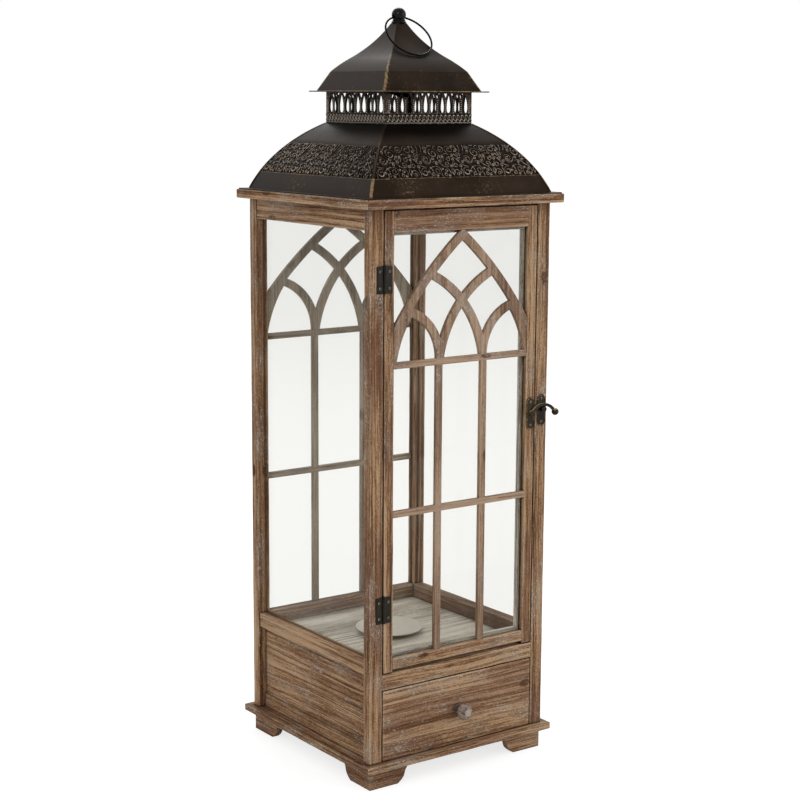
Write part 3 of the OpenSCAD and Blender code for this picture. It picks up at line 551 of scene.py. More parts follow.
# %% Base plate and cornice
def framed(name, width, seed, tone=0.0):
    """Four mitred boards round the node's square: the front one and its three quarter turns."""
    low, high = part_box(name)
    front_high = (high.x, low.y + width, high.z)
    return [board(low, front_high, seed + i, along=0, tone=tone - 0.2 * (i % 2),
                  quarter_turns=i, mitre=True) for i in range(4)]


PLATE_WIDTH = 32 * MM
CORNICE_WIDTH = 28 * MM
low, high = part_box("base_plate")
inside = board((low.x + PLATE_WIDTH, low.y + PLATE_WIDTH, low.z),
               (high.x - PLATE_WIDTH, high.y - PLATE_WIDTH, high.z), 45)
wooden("base_plate", framed("base_plate", PLATE_WIDTH, 41, 0.1) + [inside])
wooden("cornice_frame", framed("cornice_frame", CORNICE_WIDTH, 51))

# %% [markdown]
# ## Strips, cleats and beads
# These nodes hold several thin sticks each. Their boxes follow from the node's own box and from
# the boards they lie against. The door's beads hold the glass from inside; they are drawn 3 mm
# wide, as most of their 5 mm lies hidden behind the frame.

# %% Strips, cleats and beads
low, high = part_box("panel_strips")
left_panel, right_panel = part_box("side_panel_left"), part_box("side_panel_right")
back_low, back_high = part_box("back_panel")
wooden("panel_strips", [
    board((low.x, left_panel[0].y, low.z), (left_panel[0].x, left_panel[1].y, high.z), 61),
    board((right_panel[1].x, left_panel[0].y, low.z), (high.x, left_panel[1].y, high.z), 62),
    board((back_low.x, back_high.y, low.z), (back_high.x, high.y, high.z), 63),
])

low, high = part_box("floor_cleats")
stick = high.z - low.z
wooden("floor_cleats", [
    board(low, (low.x + stick, high.y, high.z), 64),
    board((high.x - stick, low.y, low.z), high, 65),
])

BEAD = 3 * MM
low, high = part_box("door_beads")
wooden("door_beads", [
    board(low, (low.x + BEAD, high.y, high.z), 66, along=2),
    board((high.x - BEAD, low.y, low.z), high, 67, along=2),
    board((low.x + BEAD, low.y, low.z), (high.x - BEAD, high.y, low.z + BEAD), 68, along=0),
    board((low.x + BEAD, low.y, high.z - BEAD), (high.x - BEAD, high.y, high.z), 69, along=0),
], grey_fir)

# %% [markdown]
# ## Sawn shapes
# The tracery and the bracket feet are sawn from boards, so their outline is the solid model's. A
# copy of that mesh has its loose triangles merged and its flat faces joined. Then its edges are
# rounded. The grain runs up the tracery, but along its two cross bars, so the copy is first cut
# at their edges.

# %% Softened copies
def softened(node, name, width, levels=(), sharp_from=25):
    """A merged copy of a node's mesh, with edges sharper than an angle rounded and marked edge = 1.

    It is then cut, without a gap, at the given heights.
    """
    shape = bmesh.new()
    shape.from_mesh(frame["nodes"][node].data)
    bmesh.ops.remove_doubles(shape, verts=shape.verts, dist=0.01 * MM)
    flat = math.radians(0.5)
    bmesh.ops.dissolve_limit(shape, angle_limit=flat, verts=shape.verts, edges=shape.edges)
    sharp = math.radians(sharp_from)
    folds = [e for e in shape.edges if e.is_manifold and e.calc_face_angle(0) > sharp]
    bmesh.ops.bevel(shape, geom=folds, offset=width, segments=3, profile=0.5,
                    affect="EDGES", clamp_overlap=True, material=1)
    for z in levels:
        everything = shape.verts[:] + shape.edges[:] + shape.faces[:]
        bmesh.ops.bisect_plane(shape, geom=everything, plane_co=(0, 0, z), plane_no=(0, 0, 1))
    mesh = bpy.data.meshes.new(name)
    shape.to_mesh(mesh)
    shape.free()
    # the rounding's faces have material number 1; a point of any other face isn't on an edge
    number = read(mesh.polygons, "material_index", kind=int)
    number = np.repeat(number, read(mesh.polygons, "loop_total", kind=int))
    edge = np.ones(len(mesh.vertices))
    edge[read(mesh.loops, "vertex_index", kind=int)[number == 0]] = 0
    write(mesh, "edge", edge)
    mesh.polygons.foreach_set("material_index", np.zeros(len(mesh.polygons), int))
    return mesh


def sawn(node, material, width, axes_of, seed, tone, levels=()):
    """A softened copy with grain on its face corners; axes_of(face centres) is the grain's axis."""
    mesh = softened(node, node + "_wood", width, levels)
    centres = read(mesh.polygons, "center", 3)
    along = np.repeat(axes_of(centres), read(mesh.polygons, "loop_total", kind=int))
    corners = read(mesh.loops, "vertex_index", kind=int)
    spots = read(mesh.vertices, "co", 3)[corners] / MM
    order = np.array([[1, 2, 0], [0, 2, 1], [0, 1, 2]])[along]
    grain = np.take_along_axis(spots, order, axis=1) + [46 * math.sin(seed), 40, 97 * seed]
    write(mesh, "grain", grain, "CORNER")
    write(mesh, "tone", np.full(len(corners), tone), "CORNER")
    piece(mesh, material, body_of[node], (node,))
    print(f"{mesh.name}: {len(mesh.polygons)} faces")


# %% Tracery
SILL_TOP, BAR = 132, 6.4
# for each node: its material, and how high its cross bars' feet stand over the sill
TRACERY = {"door_tracery": (bar_fir, (142, 288.5)), "back_tracery": (back_bar_fir, (144, 293.5))}
for number, (node, (material, heights)) in enumerate(TRACERY.items()):
    bars = [((SILL_TOP + h) * MM, (SILL_TOP + h + BAR) * MM) for h in heights]
    in_bar = lambda c: np.any([(c[:, 2] > foot) & (c[:, 2] < head) for foot, head in bars], axis=0)
    sawn(node, material, 0.8 * MM, lambda c: np.where(in_bar(c), 0, 2), 71 + number, 0.15,
         [z for bar in bars for z in bar])

# %% Bracket feet
for number, corner in enumerate(["front_left", "front_right", "back_left", "back_right"]):
    low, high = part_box("foot_" + corner)
    inner = np.array([high.x if low.x < 0 else low.x, high.y if low.y < 0 else low.y])
    reach = lambda c: np.abs(c[:, :2] - inner)
    sawn("foot_" + corner, brown_fir, 0.9 * MM,
         lambda c: np.where(reach(c)[:, 0] < reach(c)[:, 1], 0, 1), 81 + number, 0.1)

# %% [markdown]
# ## Turned and swept parts
# The knob, the candle dish and the finial are turned on a lathe: a profile carried round an axis.
# The ring, the hip seams and the latch lever are swept: a small section carried along a path.

# %% Lathe and sweep
def turned(profile, around=72):
    """Each profile point (radius, height) becomes a circle about the z axis."""
    r, z = np.array(profile).T[..., None]
    a = np.linspace(0, 2 * np.pi, around, endpoint=False)
    return as_points(r * np.cos(a), r * np.sin(a), z)


def swept(path, out, section):
    """Section points (outwards, sideways) lie in the plane of out and of tangent x out."""
    tangent = np.gradient(path, axis=0)
    tangent /= np.linalg.norm(tangent, axis=1, keepdims=True)
    out = out - (out * tangent).sum(1, keepdims=True) * tangent
    out /= np.linalg.norm(out, axis=1, keepdims=True)
    side = np.cross(tangent, out)
    section = np.broadcast_to(section, (len(path), *section.shape[-2:]))
    return path[:, None] + section[..., :1] * out[:, None] + section[..., 1:] * side[:, None]


def ray(angle):
    """The direction (cos, sin) of every angle."""
    return as_points(np.cos(angle), np.sin(angle))


def arc(centre, radius, start, end, count=9):
    """Points of a circle's arc between two angles in degrees."""
    return centre + radius * ray(np.radians(np.linspace(start, end, count)))


print("a lathe ring has", turned([(1, 0)]).shape[1], "points")

# %% [markdown]
# ## The drawer knob
# A small knob turned from the same fir, a little greyer where hands have rubbed it. It has a
# rounded rose, a waist and a ball with a flat tip.

# %% Knob
low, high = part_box("drawer_knob")
knob_r, knob_l = (high.x - low.x) / 2 / MM, (high.y - low.y) / MM
belly = (knob_l - 6) / 2
waist = knob_r - belly
outline = np.vstack([[(0.3, 0), (2 * waist - 0.5, 0), (2 * waist, 0.5), (2 * waist, 1.0),
                      (2 * waist - 0.3, 1.4)],
                     arc((2 * waist, waist + 1.2), waist - 0.4, -100, -170, 7),
                     arc((waist, knob_l - 1 - belly), belly, -78, 78, 20),
                     [(waist + 0.9, knob_l - 0.3), (waist + 0.2, knob_l), (0.3, knob_l)]])
rings = turned(outline * MM)
centre = (low + high) / 2
knob_rings = as_points(centre.x + rings[..., 0], high.y - rings[..., 2],
                       centre.z + rings[..., 1])
edge = np.zeros(knob_rings.shape[:2])
edge[-3:] = 1.0
# the tone is painted darker in the waist, as shade, and lighter at the tip
tone = np.interp(outline[:, 1], [0, 1.5, 4, 7, knob_l - 1, knob_l],
                 [0.3, -0.6, -0.8, 0.1, 0.2, 1.4])
tone = np.repeat(tone[:, None], rings.shape[1], axis=1)
part = loft(knob_rings, {"grain": rings / MM + (30, 44, 17), "edge": edge, "tone": tone})
# the same fir, with its stain rubbed off by hands
grey_knob = weathered_wood("turned_fir_knob_rubbed_grey", "#3c2e25", "#6a5a4d", "#9a8c80",
                           "#5d483c", "#7d7269", "#b8aea2", 0.4, "#b3a699")
piece(mesh_of("drawer_knob_turned", part), grey_knob, "drawer", ("drawer_knob",))
print("the knob is", round(2 * knob_r, 1), "mm wide")

# %% [markdown]
# ## Roof metal
# The roof is thin sheet steel with a black-brown lacquer over a brassy undercoat. It is satin, a
# little mottled, and rubbed through to brass along the folds. The lacquer is so thin that it
# shines like the metal under it, so the roof is set as a metal of a very dark colour. Each piece
# carries a wear value, highest on folds and ridges, and a noise with 2.4 mm grains breaks up
# where it shows. Painted shade darkens the corners, a painted shadow lies under the gallery, and
# the pressed ridges carry a painted highlight.

# %% Metal material
CLOUD, GRIT = 30 * MM, 2.4 * MM
SHADE_BLACK = "#0b0806"
METAL_SHADE_REACH = 50 * MM


def worn_metal(name, base, mottle, rub, roughness, metallic, specular=0.12, painted_shade=0.6, relief_shading=()):
    """Two dark tones mixed by cloudy noise; the rub colour shows where wear plus grit is high.

    A pressed sheet has a shading value from -1 in the hollows and in painted shadow, through 0
    where it is plain, to 1 on the ridges, with a dark colour for hollows and painted shadow and a
    pale colour for ridges, a painted highlight with some rubbed lacquer. Painted shade turns black
    in the corners.
    """
    material, t = new_material(name)
    place = add(t, "TexCoord", out="Object")
    wear_and_highlight = add(t, "Attribute", attribute_name="wear_and_highlight", out="Fac")
    clouds, grit = (add(t, "TexNoise", {"Vector": place, "Scale": 1 / size, "Detail": detail,
                                        "Roughness": harshness}, out="Fac")
                    for size, detail, harshness in ((CLOUD, 4.0, 0.6), (GRIT, 3.0, 0.65)))
    coats = [(add(t, "MapRange", {0: clouds, 1: 0.38, 2: 0.66}), mottle)]
    # hollows get a darker colour, also used as painted shadow; the ridge colour is a painted highlight with some
    # rubbed lacquer
    if relief_shading:
        height = add(t, "Attribute", attribute_name="relief_shading", out="Fac")
        coats += [(add(t, "MapRange", {0: height, 1: start, 2: end}), colour)
                  for start, end, colour in zip((0.0, 0.35), (-1.0, 1.0), relief_shading)]
    broken = wear_and_highlight
    for layer, weight in ((grit, 0.9), (clouds, 0.3)):
        broken = add(t, "Math", {0: layer, 1: weight, 2: broken}, operation="MULTIPLY_ADD")
    shown = add(t, "MapRange", {0: broken, 1: 0.95, 2: 1.25}, interpolation_type="SMOOTHSTEP")
    # painted shade: the colour turns black where ambient occlusion finds corners and overhangs
    open_sky = add(t, "AmbientOcclusion", {"Distance": METAL_SHADE_REACH}, out="AO", samples=8)
    shade_share = add(t, "MapRange", {0: open_sky, 1: 0.42, 2: 0.96, 3: painted_shade, 4: 0.0})
    colour = linear(base)
    for share, coat in (*coats, (shown, rub), (shade_share, SHADE_BLACK)):
        colour = add(t, "Mix", {0: share, 6: colour, 7: linear(coat)}, out=2, data_type="RGBA")
    rough = add(t, "MapRange", {0: clouds, 1: 0.3, 2: 0.7, 3: roughness - 0.06,
                                4: roughness + 0.08})
    bump = add(t, "Bump", {"Strength": 0.12, "Distance": 0.2 * MM, "Height": grit})
    shader = add(t, "BsdfPrincipled", {"Base Color": colour, "Roughness": rough, "Normal": bump,
                                       "Metallic": metallic, "Specular IOR Level": specular})
    add(t, "OutputMaterial", {0: shader})
    return material


print("the clouds are", round(CLOUD / MM), "mm wide and the grit", GRIT / MM, "mm")

# %% Metals
# satin lacquer on the roof and the gallery, with painted shade in the corners and a painted highlight on the
# pressed ridges
roof_metal = worn_metal("lacquered_sheet_steel_brass_rub", "#241b14", "#2f251d", "#84704f",
                        0.40, 1.0, painted_shade=0.95, relief_shading=("#140c07", "#c9b8a7"))
gallery_metal = worn_metal("pressed_gallery_sheet_brass_rub", "#2a221c", "#383029", "#a99f92",
                           0.42, 1.0, painted_shade=0.35, relief_shading=("#18110c", "#a99f95"))
seam_metal = worn_metal("folded_seam_rubbed_to_brass", "#2e231a", "#4a3a2a", "#836e50", 0.42, 1.0)
# blackened iron is dull, its nail heads have rubbed rims with a painted highlight, and the brass of the latch is
# antiqued
dark_iron = worn_metal("blackened_iron_hinge", "#130f08", "#231d12", "#5d5546",
                       0.36, 0.0, 0.15, painted_shade=0.3)
nail_steel = worn_metal("bright_rimmed_nail_head", "#2b261e", "#474034", "#b4ab99",
                        0.34, 0.3, 0.3, painted_shade=0.2)
aged_brass = worn_metal("antiqued_brass_latch", "#170f05", "#302412", "#a39371",
                        0.38, 0.1, 0.14, painted_shade=0.2)
# satin grey paint on the dish, thin black on the ring's wire, and a glossy black finial
grey_steel = worn_metal("satin_painted_steel_dish", "#c0b9af", "#cbc4ba", "#d8d3ca",
                        0.5, 0.0, 0.3, painted_shade=0.0)
black_wire = worn_metal("blackened_steel_ring_wire", "#0d0b0a", "#161311", "#3c3630", 0.30, 1.0)
black_ball = worn_metal("black_lacquered_finial", "#040303", "#070606", "#3c3630", 0.12, 0.0, 0.14)
print("metals:", roof_metal.name, dark_iron.name, aged_brass.name, "and", grey_steel.name)

# %% [markdown]
# ## Scroll relief
# A band of scrollwork is pressed into each lower roof panel: spirals, curls and leaf strokes
# joined by bent stems, raised about a millimetre like laid wire. The pattern repeats every 51 mm.
# Each line is sampled as points, a spiral or a curve bent through three points. The height at any
# spot falls off with the distance to the nearest point. Small curls then fill the widest gaps,
# one after the other. All this is worked out once on a fine tile and then read for every panel.

# %% Scroll lines
TILE, BAND = 51.0, 38.0  # millimetres along the roof and up it
# a spiral: its centre (2), outer and inner radius, start in degrees, and turns
SPIRALS = [
    (22.9, 20.2, 8.2, 1.4, 150, -1.9), (35, 27.4, 7.2, 1.3, 300, 1.7),
    (5.7, 32, 6.2, 1.3, 250, -1.6), (46.4, 33, 4.4, 1.2, 200, 1.4),
    (17.1, 5.6, 5.2, 1.4, 60, 1.25), (32.9, 7.3, 4.8, 1.2, 100, -1.4),
    (5.7, 13.7, 3.6, 1.0, 90, 1.3), (4.6, 3.2, 4.6, 4.6, 0, 0.5), (46.4, 14.5, 3.2, 1.1, 250, 1.2),
    (50.0, 20.5, 3.0, 1.1, 60, -1.1), (28.2, 34.0, 2.6, 1.0, 90, 1.1),
    (13.2, 25.6, 2.6, 1.0, 300, 1.1), (39.2, 8.8, 1.3, 0.5, 0, 1.0),
    (26.2, 3.0, 2.3, 1.0, 180, -1.1), (42.6, 22.6, 2.2, 1.0, 0, 1.1),
    (11.0, 19.3, 1.9, 0.9, 0, 1.0), (41.5, 2.9, 2.1, 1.0, 90, 1.1),
    (22.9, 20.2, 6.0, 1.0, 0, -0.8), (35, 27.4, 5.2, 3.4, 120, 0.6),
    (17.1, 5.6, 3.4, 2.0, 200, 0.6),
]
# a stem: where it starts, what it is pulled towards, and where it ends
STEMS = [
    (0.5, 23, 7, 24, 10.7, 17.7), (10.7, 17.7, 14, 11, 21, 11.7), (40, 13, 46.5, 11, 47.9, 4),
    (29.8, 16.5, 35, 20, 40.5, 13), (16.5, 28, 20, 36, 18.2, 37.5), (21.5, 30, 25, 34, 23.5, 37.5),
    (38, 34, 41, 38, 42, 36), (10.5, 9, 12.5, 5, 11, 0.5), (23, 8.5, 27, 12, 31, 12.2),
    (36.5, 4, 36, 1.5, 38, 0.3), (47, 26, 51, 28, 52.5, 25.5), (31, 34.5, 33, 38, 37, 36.5),
    (0.5, 9, 3, 6, 1.5, 4), (15.4, 30.4, 13, 34, 14.4, 37.5), (24.5, 11.5, 28, 8, 26.5, 4.8),
    (43.5, 18.2, 46, 22, 44.6, 25.8), (50.5, 9, 48.5, 6, 51, 2), (8.5, 26.6, 10, 22, 15, 21.4),
    (37.8, 20.6, 38.6, 23, 40.4, 25), (20, 1.2, 23, -0.4, 24.4, 2),
]


def spiral(u, v, outer, inner, start, turns, count=80):
    """The radius goes from outer to inner while the angle goes from start by a number of turns."""
    s = np.linspace(0, 1, count)
    r = outer + (inner - outer) * s ** 0.85
    return (u, v) + r[:, None] * ray(np.radians(start) + 2 * np.pi * turns * s)


def stem(u0, v0, u1, v1, u2, v2, count=40):
    """A curve from point 0 to 2, pulled towards 1: (1-s)^2 p0 + 2s(1-s) p1 + s^2 p2."""
    s = np.linspace(0, 1, count)[:, None]
    p0, p1, p2 = np.array([(u0, v0), (u1, v1), (u2, v2)])
    return (1 - s) ** 2 * p0 + 2 * s * (1 - s) * p1 + s ** 2 * p2


scrolls = np.vstack([spiral(*values) for values in SPIRALS] + [stem(*values) for values in STEMS])
print(len(SPIRALS), "spirals and", len(STEMS), "stems hold", len(scrolls), "points")

# %% Scroll tile
GRAIN, LINE, CURLS = 0.3, 0.52, 16  # millimetres between heights, a line's half width, added curls
u, v = np.meshgrid(np.arange(0, TILE, GRAIN), np.arange(0, BAND + GRAIN, GRAIN))


def distance_to(lines):
    """From every spot of the tile to the nearest point of the lines, repeated left and right."""
    near = np.full(u.shape, 99.0)
    for shift in (-TILE, 0, TILE):
        moved = lines + (shift, 0)
        moved = moved[(moved[:, 0] > -6) & (moved[:, 0] < TILE + 6)]
        if len(moved):
            rows = [np.hypot(a[:, None] - moved[:, 0], b[:, None] - moved[:, 1]).min(-1)
                    for a, b in zip(u, v)]
            near = np.minimum(near, rows)
    return near


near = distance_to(scrolls)
for k in range(CURLS):
    room = np.minimum(near, np.minimum(v, BAND - v) + 0.8)
    spot = np.unravel_index(room.argmax(), room.shape)
    gap = room[spot]
    curl = spiral(u[spot], v[spot], 0.6 * gap, 0.22 * gap, 70 * k, 1.2 * (-1) ** k, 40)
    near = np.minimum(near, distance_to(curl))
print("the last curl has", round(float(gap), 1), "mm of room")
tile_height = np.exp(-(near / LINE) ** 2)


def scroll_height(u_mm, v_mm):
    """Mixes the tile's four values nearest to (u, v). It repeats along u and fades at its rims."""
    i, j = np.mod(u_mm, TILE) / GRAIN, np.clip(v_mm, 0, BAND - 0.01) / GRAIN
    i0, j0 = np.floor(i).astype(int), np.floor(j).astype(int)
    fu, fv = i - i0, j - j0
    rows, columns = tile_height.shape
    left, right = i0 % columns, (i0 + 1) % columns
    low, high = ((1 - fu) * tile_height[row, left] + fu * tile_height[row, right]
                 for row in (np.minimum(j0, rows - 1), np.minimum(j0 + 1, rows - 1)))
    return ((1 - fv) * low + fv * high) * np.clip(np.minimum(v_mm, BAND - v_mm), 0, 1)


print("the tile has", tile_height.size, "heights")

# %% [markdown]
# ## The lower roof
# Each of the four panels is one bent sheet: a narrow flange on the cornice, a plain skirt, the
# scroll band and a plain upper strip that curves in to the foot of the gallery. In section it is
# a circle's arc. A panel's half width equals its distance from the middle, so neighbours meet at
# 45 degrees. The section is carried from mitre to mitre and turned for the other three sides.

# %% Roof section
roof_low, gallery_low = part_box("roof_front")[0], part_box("gallery_band")[0]
SHEET, FLANGE, BULGE = 1.2, 7.5, 133.0
BAND_FOOT, SCROLL_START, SIDE_SHIFT = 19.0, 5.4, 17
RELIEF, STEP = 1.25, 0.35  # how far the lines rise over the band, and it lies under the sheet
RISE = 0.8  # the band ends in a short slope
GALLERY_SHADOW_REACH = 23  # a painted shadow lies on the last stretch under the gallery
foot_z, top_z = roof_low.z / MM, gallery_low.z / MM
flange_half, gallery_half = -roof_low.y / MM, -gallery_low.y / MM
eave = np.array([flange_half - FLANGE, foot_z + SHEET])
crown = np.array([gallery_half, top_z])


def meeting_point(p, q, a, b):
    """The point at distance a from p and b from q: u along the way, then aside to its right.

    By the rule of Pythagoras u = (a^2 - b^2 + length^2) / (2 length), and aside^2 = a^2 - u^2.
    """
    way = q - p
    length = np.linalg.norm(way)
    u = (a ** 2 - b ** 2 + length ** 2) / (2 * length)
    aside = math.sqrt(a ** 2 - u ** 2)
    return p + way / length * u + np.array([way[1], -way[0]]) / length * aside


bulge_centre = meeting_point(crown, eave, BULGE, BULGE)
a_eave, a_crown = (math.atan2(*(p - bulge_centre)[::-1]) for p in (eave, crown))
length = BULGE * (a_crown - a_eave)
print("the bulge is", round(length, 1), "mm from eave to gallery")


# %% Lower roof panels
def roof_panel(turns):
    """The section's points (half width, height) go out along the arc's normal as the lines rise.

    The section is stretched sideways from -1 to 1 times its own half width, from hip to hip.
    """
    across = np.linspace(-1, 1, 360)[:, None]
    skirt = np.linspace(0, BAND_FOOT - 0.6, 8)
    band = np.linspace(BAND_FOOT, BAND_FOOT + BAND, 64)
    band_head = BAND_FOOT + BAND + RISE
    upper = np.linspace(band_head, length, 8)
    way = np.concatenate([skirt, band, upper])
    normal = ray(a_eave + way / BULGE)
    outer = bulge_centre + BULGE * normal
    half_width = outer[:, 0]
    from_hip = (1 - np.abs(across)) * half_width
    start = SCROLL_START + SIDE_SHIFT * turns
    height = scroll_height(across * half_width + start, way - BAND_FOOT)
    height = height * np.clip((from_hip - 1.2) / 1.5, 0, 1)
    band_end = np.clip((band_head - way) / RISE, 0, 1)
    step = np.clip((way - BAND_FOOT) / 0.6, 0, 1) * band_end
    lift = RELIEF * height - STEP * step
    outside = outer + lift[..., None] * normal
    inner_normal = ray(a_eave + np.linspace(length, 0, 10) / BULGE)
    inside = bulge_centre + (BULGE - SHEET) * inner_normal
    lip_z = foot_z + SHEET
    lip = np.array([[flange_half, foot_z], [flange_half, lip_z], [eave[0] + 0.6, lip_z]])
    under = np.array([[eave[0] - SHEET, foot_z]])
    many = lambda points: np.broadcast_to(points, (len(across), *points.shape))
    section = np.concatenate([many(lip), outside, many(inside[:-1]), many(under)], axis=1)
    x = across * (section[..., 0] - 0.03)
    rings = as_points(x, -section[..., 0], section[..., 1]) * MM
    on_face = slice(3, 3 + len(way))
    wear_and_highlight, relief_shading = np.zeros(rings.shape[:2]), np.zeros(rings.shape[:2])
    wear_and_highlight[:, 1:3] = 0.30
    # rubbed most at the hips and the band's foot
    rubbed_skirt = 0.30 * (way < BAND_FOOT) * (0.85 + 0.15 * np.sin(across * 7 + turns))
    wear_and_highlight[:, on_face] = 0.32 * height ** 2 + rubbed_skirt + 0.45 * np.exp(-(from_hip / 1.6) ** 2)
    wear_and_highlight[:, 3 + len(skirt)] += 0.60
    # a painted shadow: the last stretch under the gallery is pushed to the dark hollow colour
    painted_shade = np.clip((way - length + GALLERY_SHADOW_REACH) / 15, 0, 1)
    relief_shading[:, on_face] = step * (1.8 * height - 0.8) - painted_shade
    return loft(on_side(rings, turns), {"wear_and_highlight": wear_and_highlight, "relief_shading": relief_shading})


for turns, side in enumerate(["front", "right", "back", "left"]):
    mesh = mesh_of(f"roof_{side}_panel", roof_panel(turns))
    piece(mesh, roof_metal, "frame", ("roof_" + side,), sharp=60)
print("each roof panel has", len(mesh.polygons), "faces")

# %% [markdown]
# ## The hip seams
# Where two panels meet, the sheet is folded over into a flat seam that has lost most of its
# lacquer. It is an oval section carried along the corner line of the roof.

# %% Hip seams
way = np.linspace(0.5, length - 0.5, 40)
angle = a_eave + way / BULGE
hip = bulge_centre + (BULGE - 0.3) * ray(angle)
path = as_points(hip[:, 0], -hip[:, 0], hip[:, 1]) * MM
out = as_points(np.cos(angle), -np.cos(angle), np.sin(angle) * 1.4)
on_skirt = (way < BAND_FOOT)[:, None]
t = np.linspace(0, 2 * np.pi, 8, endpoint=False)
flat_oval = as_points(0.7 * np.cos(t), (1.0 + 0.5 * on_skirt) * np.sin(t))
rings = swept(path, out, flat_oval * MM)
seams = [loft(on_side(rings, i), {"wear_and_highlight": 0.28 + 0.30 * on_skirt + 0 * t}) for i in range(4)]
piece(mesh_of("roof_hip_seams", together(seams)), seam_metal, "frame")
run = np.linalg.norm(np.diff(path, axis=0), axis=1).sum() / MM
print("hip seams run", round(float(run)), "mm each")

# %% [markdown]
# ## The cap
# The small upper roof is an ogee. A straight skirt leans in up to a crease, then a round belly
# turns into a hollow neck. In section these are a line and two arcs that touch where they turn.
# Each height becomes a square ring with slightly rounded corners, so the whole cap is one loft,
# from the middle of its top, down outside, round the flange and up again inside.

# %% Cap section
CAP_FLANGE, CAP_R, NECK_R, CAP_TOP = 5.7, 95.0, 107.0, 6.1
SKIRT_H, SKIRT_LEAN, CREASE_ANGLE = 20.2, 10.0, 41.0
cap_low, cap_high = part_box("roof_cap")
cap_foot, cap_top_z = cap_low.z / MM, cap_high.z / MM
flange = -cap_low.y / MM
skirt_foot = np.array([flange - CAP_FLANGE, cap_foot])
crease = skirt_foot + (-SKIRT_LEAN, SKIRT_H)
belly_centre = crease - CAP_R * ray(math.radians(CREASE_ANGLE))


def heading(p, q):
    """The direction from p to q in degrees."""
    return math.degrees(math.atan2(q[1] - p[1], q[0] - p[0]))


tip = np.array([CAP_TOP, cap_top_z])
neck_centre = meeting_point(belly_centre, tip, CAP_R + NECK_R, NECK_R)
turn_angle = heading(belly_centre, neck_centre)
end_angle = heading(neck_centre, tip) % 360
belly_out = arc(belly_centre, CAP_R, CREASE_ANGLE, turn_angle, 10)
neck_out = arc(neck_centre, NECK_R, turn_angle + 180, end_angle, 24)
belly_in = arc(belly_centre, CAP_R - SHEET, CREASE_ANGLE, turn_angle, 5)
neck_in = arc(neck_centre, NECK_R + SHEET, turn_angle + 180, end_angle, 8)
skirt_out = np.linspace(skirt_foot + (0, SHEET), crease, 12)
skirt_in = SHEET * np.array([SKIRT_H, SKIRT_LEAN]) / math.hypot(SKIRT_H, SKIRT_LEAN)
print("the ogee turns at", round(float(belly_out[-1][1] - cap_foot), 1), "mm above the flange")


# %% Cap
CORNER_R, PER_SIDE = 1.2, 15


def square_rings(profile):
    """Every profile point (half width, height) becomes a square whose corners are small arcs.

    Points gather near the corners, as the sine of even steps. The front is made and then turned.
    """
    half, z = profile[:, :1], profile[:, 1:]
    r = np.minimum(CORNER_R, 0.5 * half)
    a = np.linspace(-np.pi / 2, np.pi / 2, PER_SIDE)
    bend = np.radians([-67.5, -45, -22.5])
    x = np.concatenate([np.sin(a) * (half - r), half - r + r * np.cos(bend)], axis=1)
    y = np.concatenate([0 * a - half, r - half + r * np.sin(bend)], axis=1)
    front = as_points(x, y, z)
    return np.concatenate([on_side(front, k) for k in range(4)], axis=1) * MM


lip = [(flange - 0.4, cap_foot + SHEET), (flange, cap_foot + SHEET - 0.4), (flange, cap_foot)]
profile = np.vstack([[(0.3, cap_top_z), (CAP_TOP - 0.6, cap_top_z)], neck_out[::-1],
                     belly_out[::-1][1:], skirt_out[::-1][1:], lip,
                     [skirt_foot - (skirt_in[0], 0), crease - skirt_in],
                     belly_in[1:], neck_in[1:], [(0.3, neck_in[-1][1] - SHEET)]])
rings = square_rings(profile)
# wear near the hips, more of it low down, most on the lip, and none inside
across = np.abs(np.linspace(-1, 1, PER_SIDE))
on_hip = np.tile(np.concatenate([np.clip((across - 0.80) / 0.2, 0, 1), [1, 1, 1]]), 4)
low_down = np.clip((cap_foot + 48 - profile[:, 1:]) / 30, 0, 1)
wear_and_highlight = on_hip * (0.22 + 0.36 * low_down) + 0.26 * low_down * (1 - on_hip)
outer_count = len(neck_out) + len(belly_out) + len(skirt_out)
wear_and_highlight[outer_count:] = 0
wear_and_highlight[outer_count:outer_count + 2] = 0.55
cap = loft(rings, {"wear_and_highlight": wear_and_highlight, "relief_shading": np.zeros(wear_and_highlight.shape)})
piece(mesh_of("roof_cap_ogee", cap), roof_metal, "frame", ("roof_cap",), sharp=12)
print("the cap has", len(rings), "rings of", rings.shape[1], "points")

# %% [markdown]
# ## The gallery
# Between the two roofs stands a thin pierced wall: lancets with round feet and long points, and a
# small triangle over each column between them. The solid model has the openings, and its copy
# gets softened edges. A fine rib is laid round every lancet, a string of beads stands on each
# column, and a pressed frieze of slanting loops runs below.

# %% Gallery wall
mesh = softened("gallery_band", "gallery_wall", 0.15 * MM, sharp_from=35)
# the posts at the four corners are rubbed more than the rest
co = np.abs(read(mesh.vertices, "co", 3)) / MM
in_corner = np.minimum(co[:, 0], co[:, 1]) > gallery_half - 4
write(mesh, "wear_and_highlight", np.where(in_corner, 0.38, 0.25))
piece(mesh, gallery_metal, "frame", ("gallery_band",))

BAYS, CORNER, COLUMN, STRIP, RAIL = 10, 3.6, 2.8, 10.3, 1.3
inner_width = 2 * (gallery_half - CORNER)
pitch = inner_width / BAYS
lancet = pitch - COLUMN
lancet_foot, lancet_head = top_z + STRIP, cap_foot - RAIL
triangle = pitch - 2 * COLUMN + 1
# half a lancet, from its foot to its point, in widths across and heights up
half = np.array([(0.16, 0), (0.36, 0.05), (0.47, 0.15), (0.5, 0.3), (0.46, 0.46), (0.35, 0.64),
                 (0.2, 0.82), (0, 1)])
outline = np.vstack([half, (half * (-1, 1))[-2::-1]])
outline = outline * (lancet, lancet_head - lancet_foot) + (0, lancet_foot)
print("the gallery has", 4 * BAYS, "lancets,", round(lancet, 2), "mm wide")

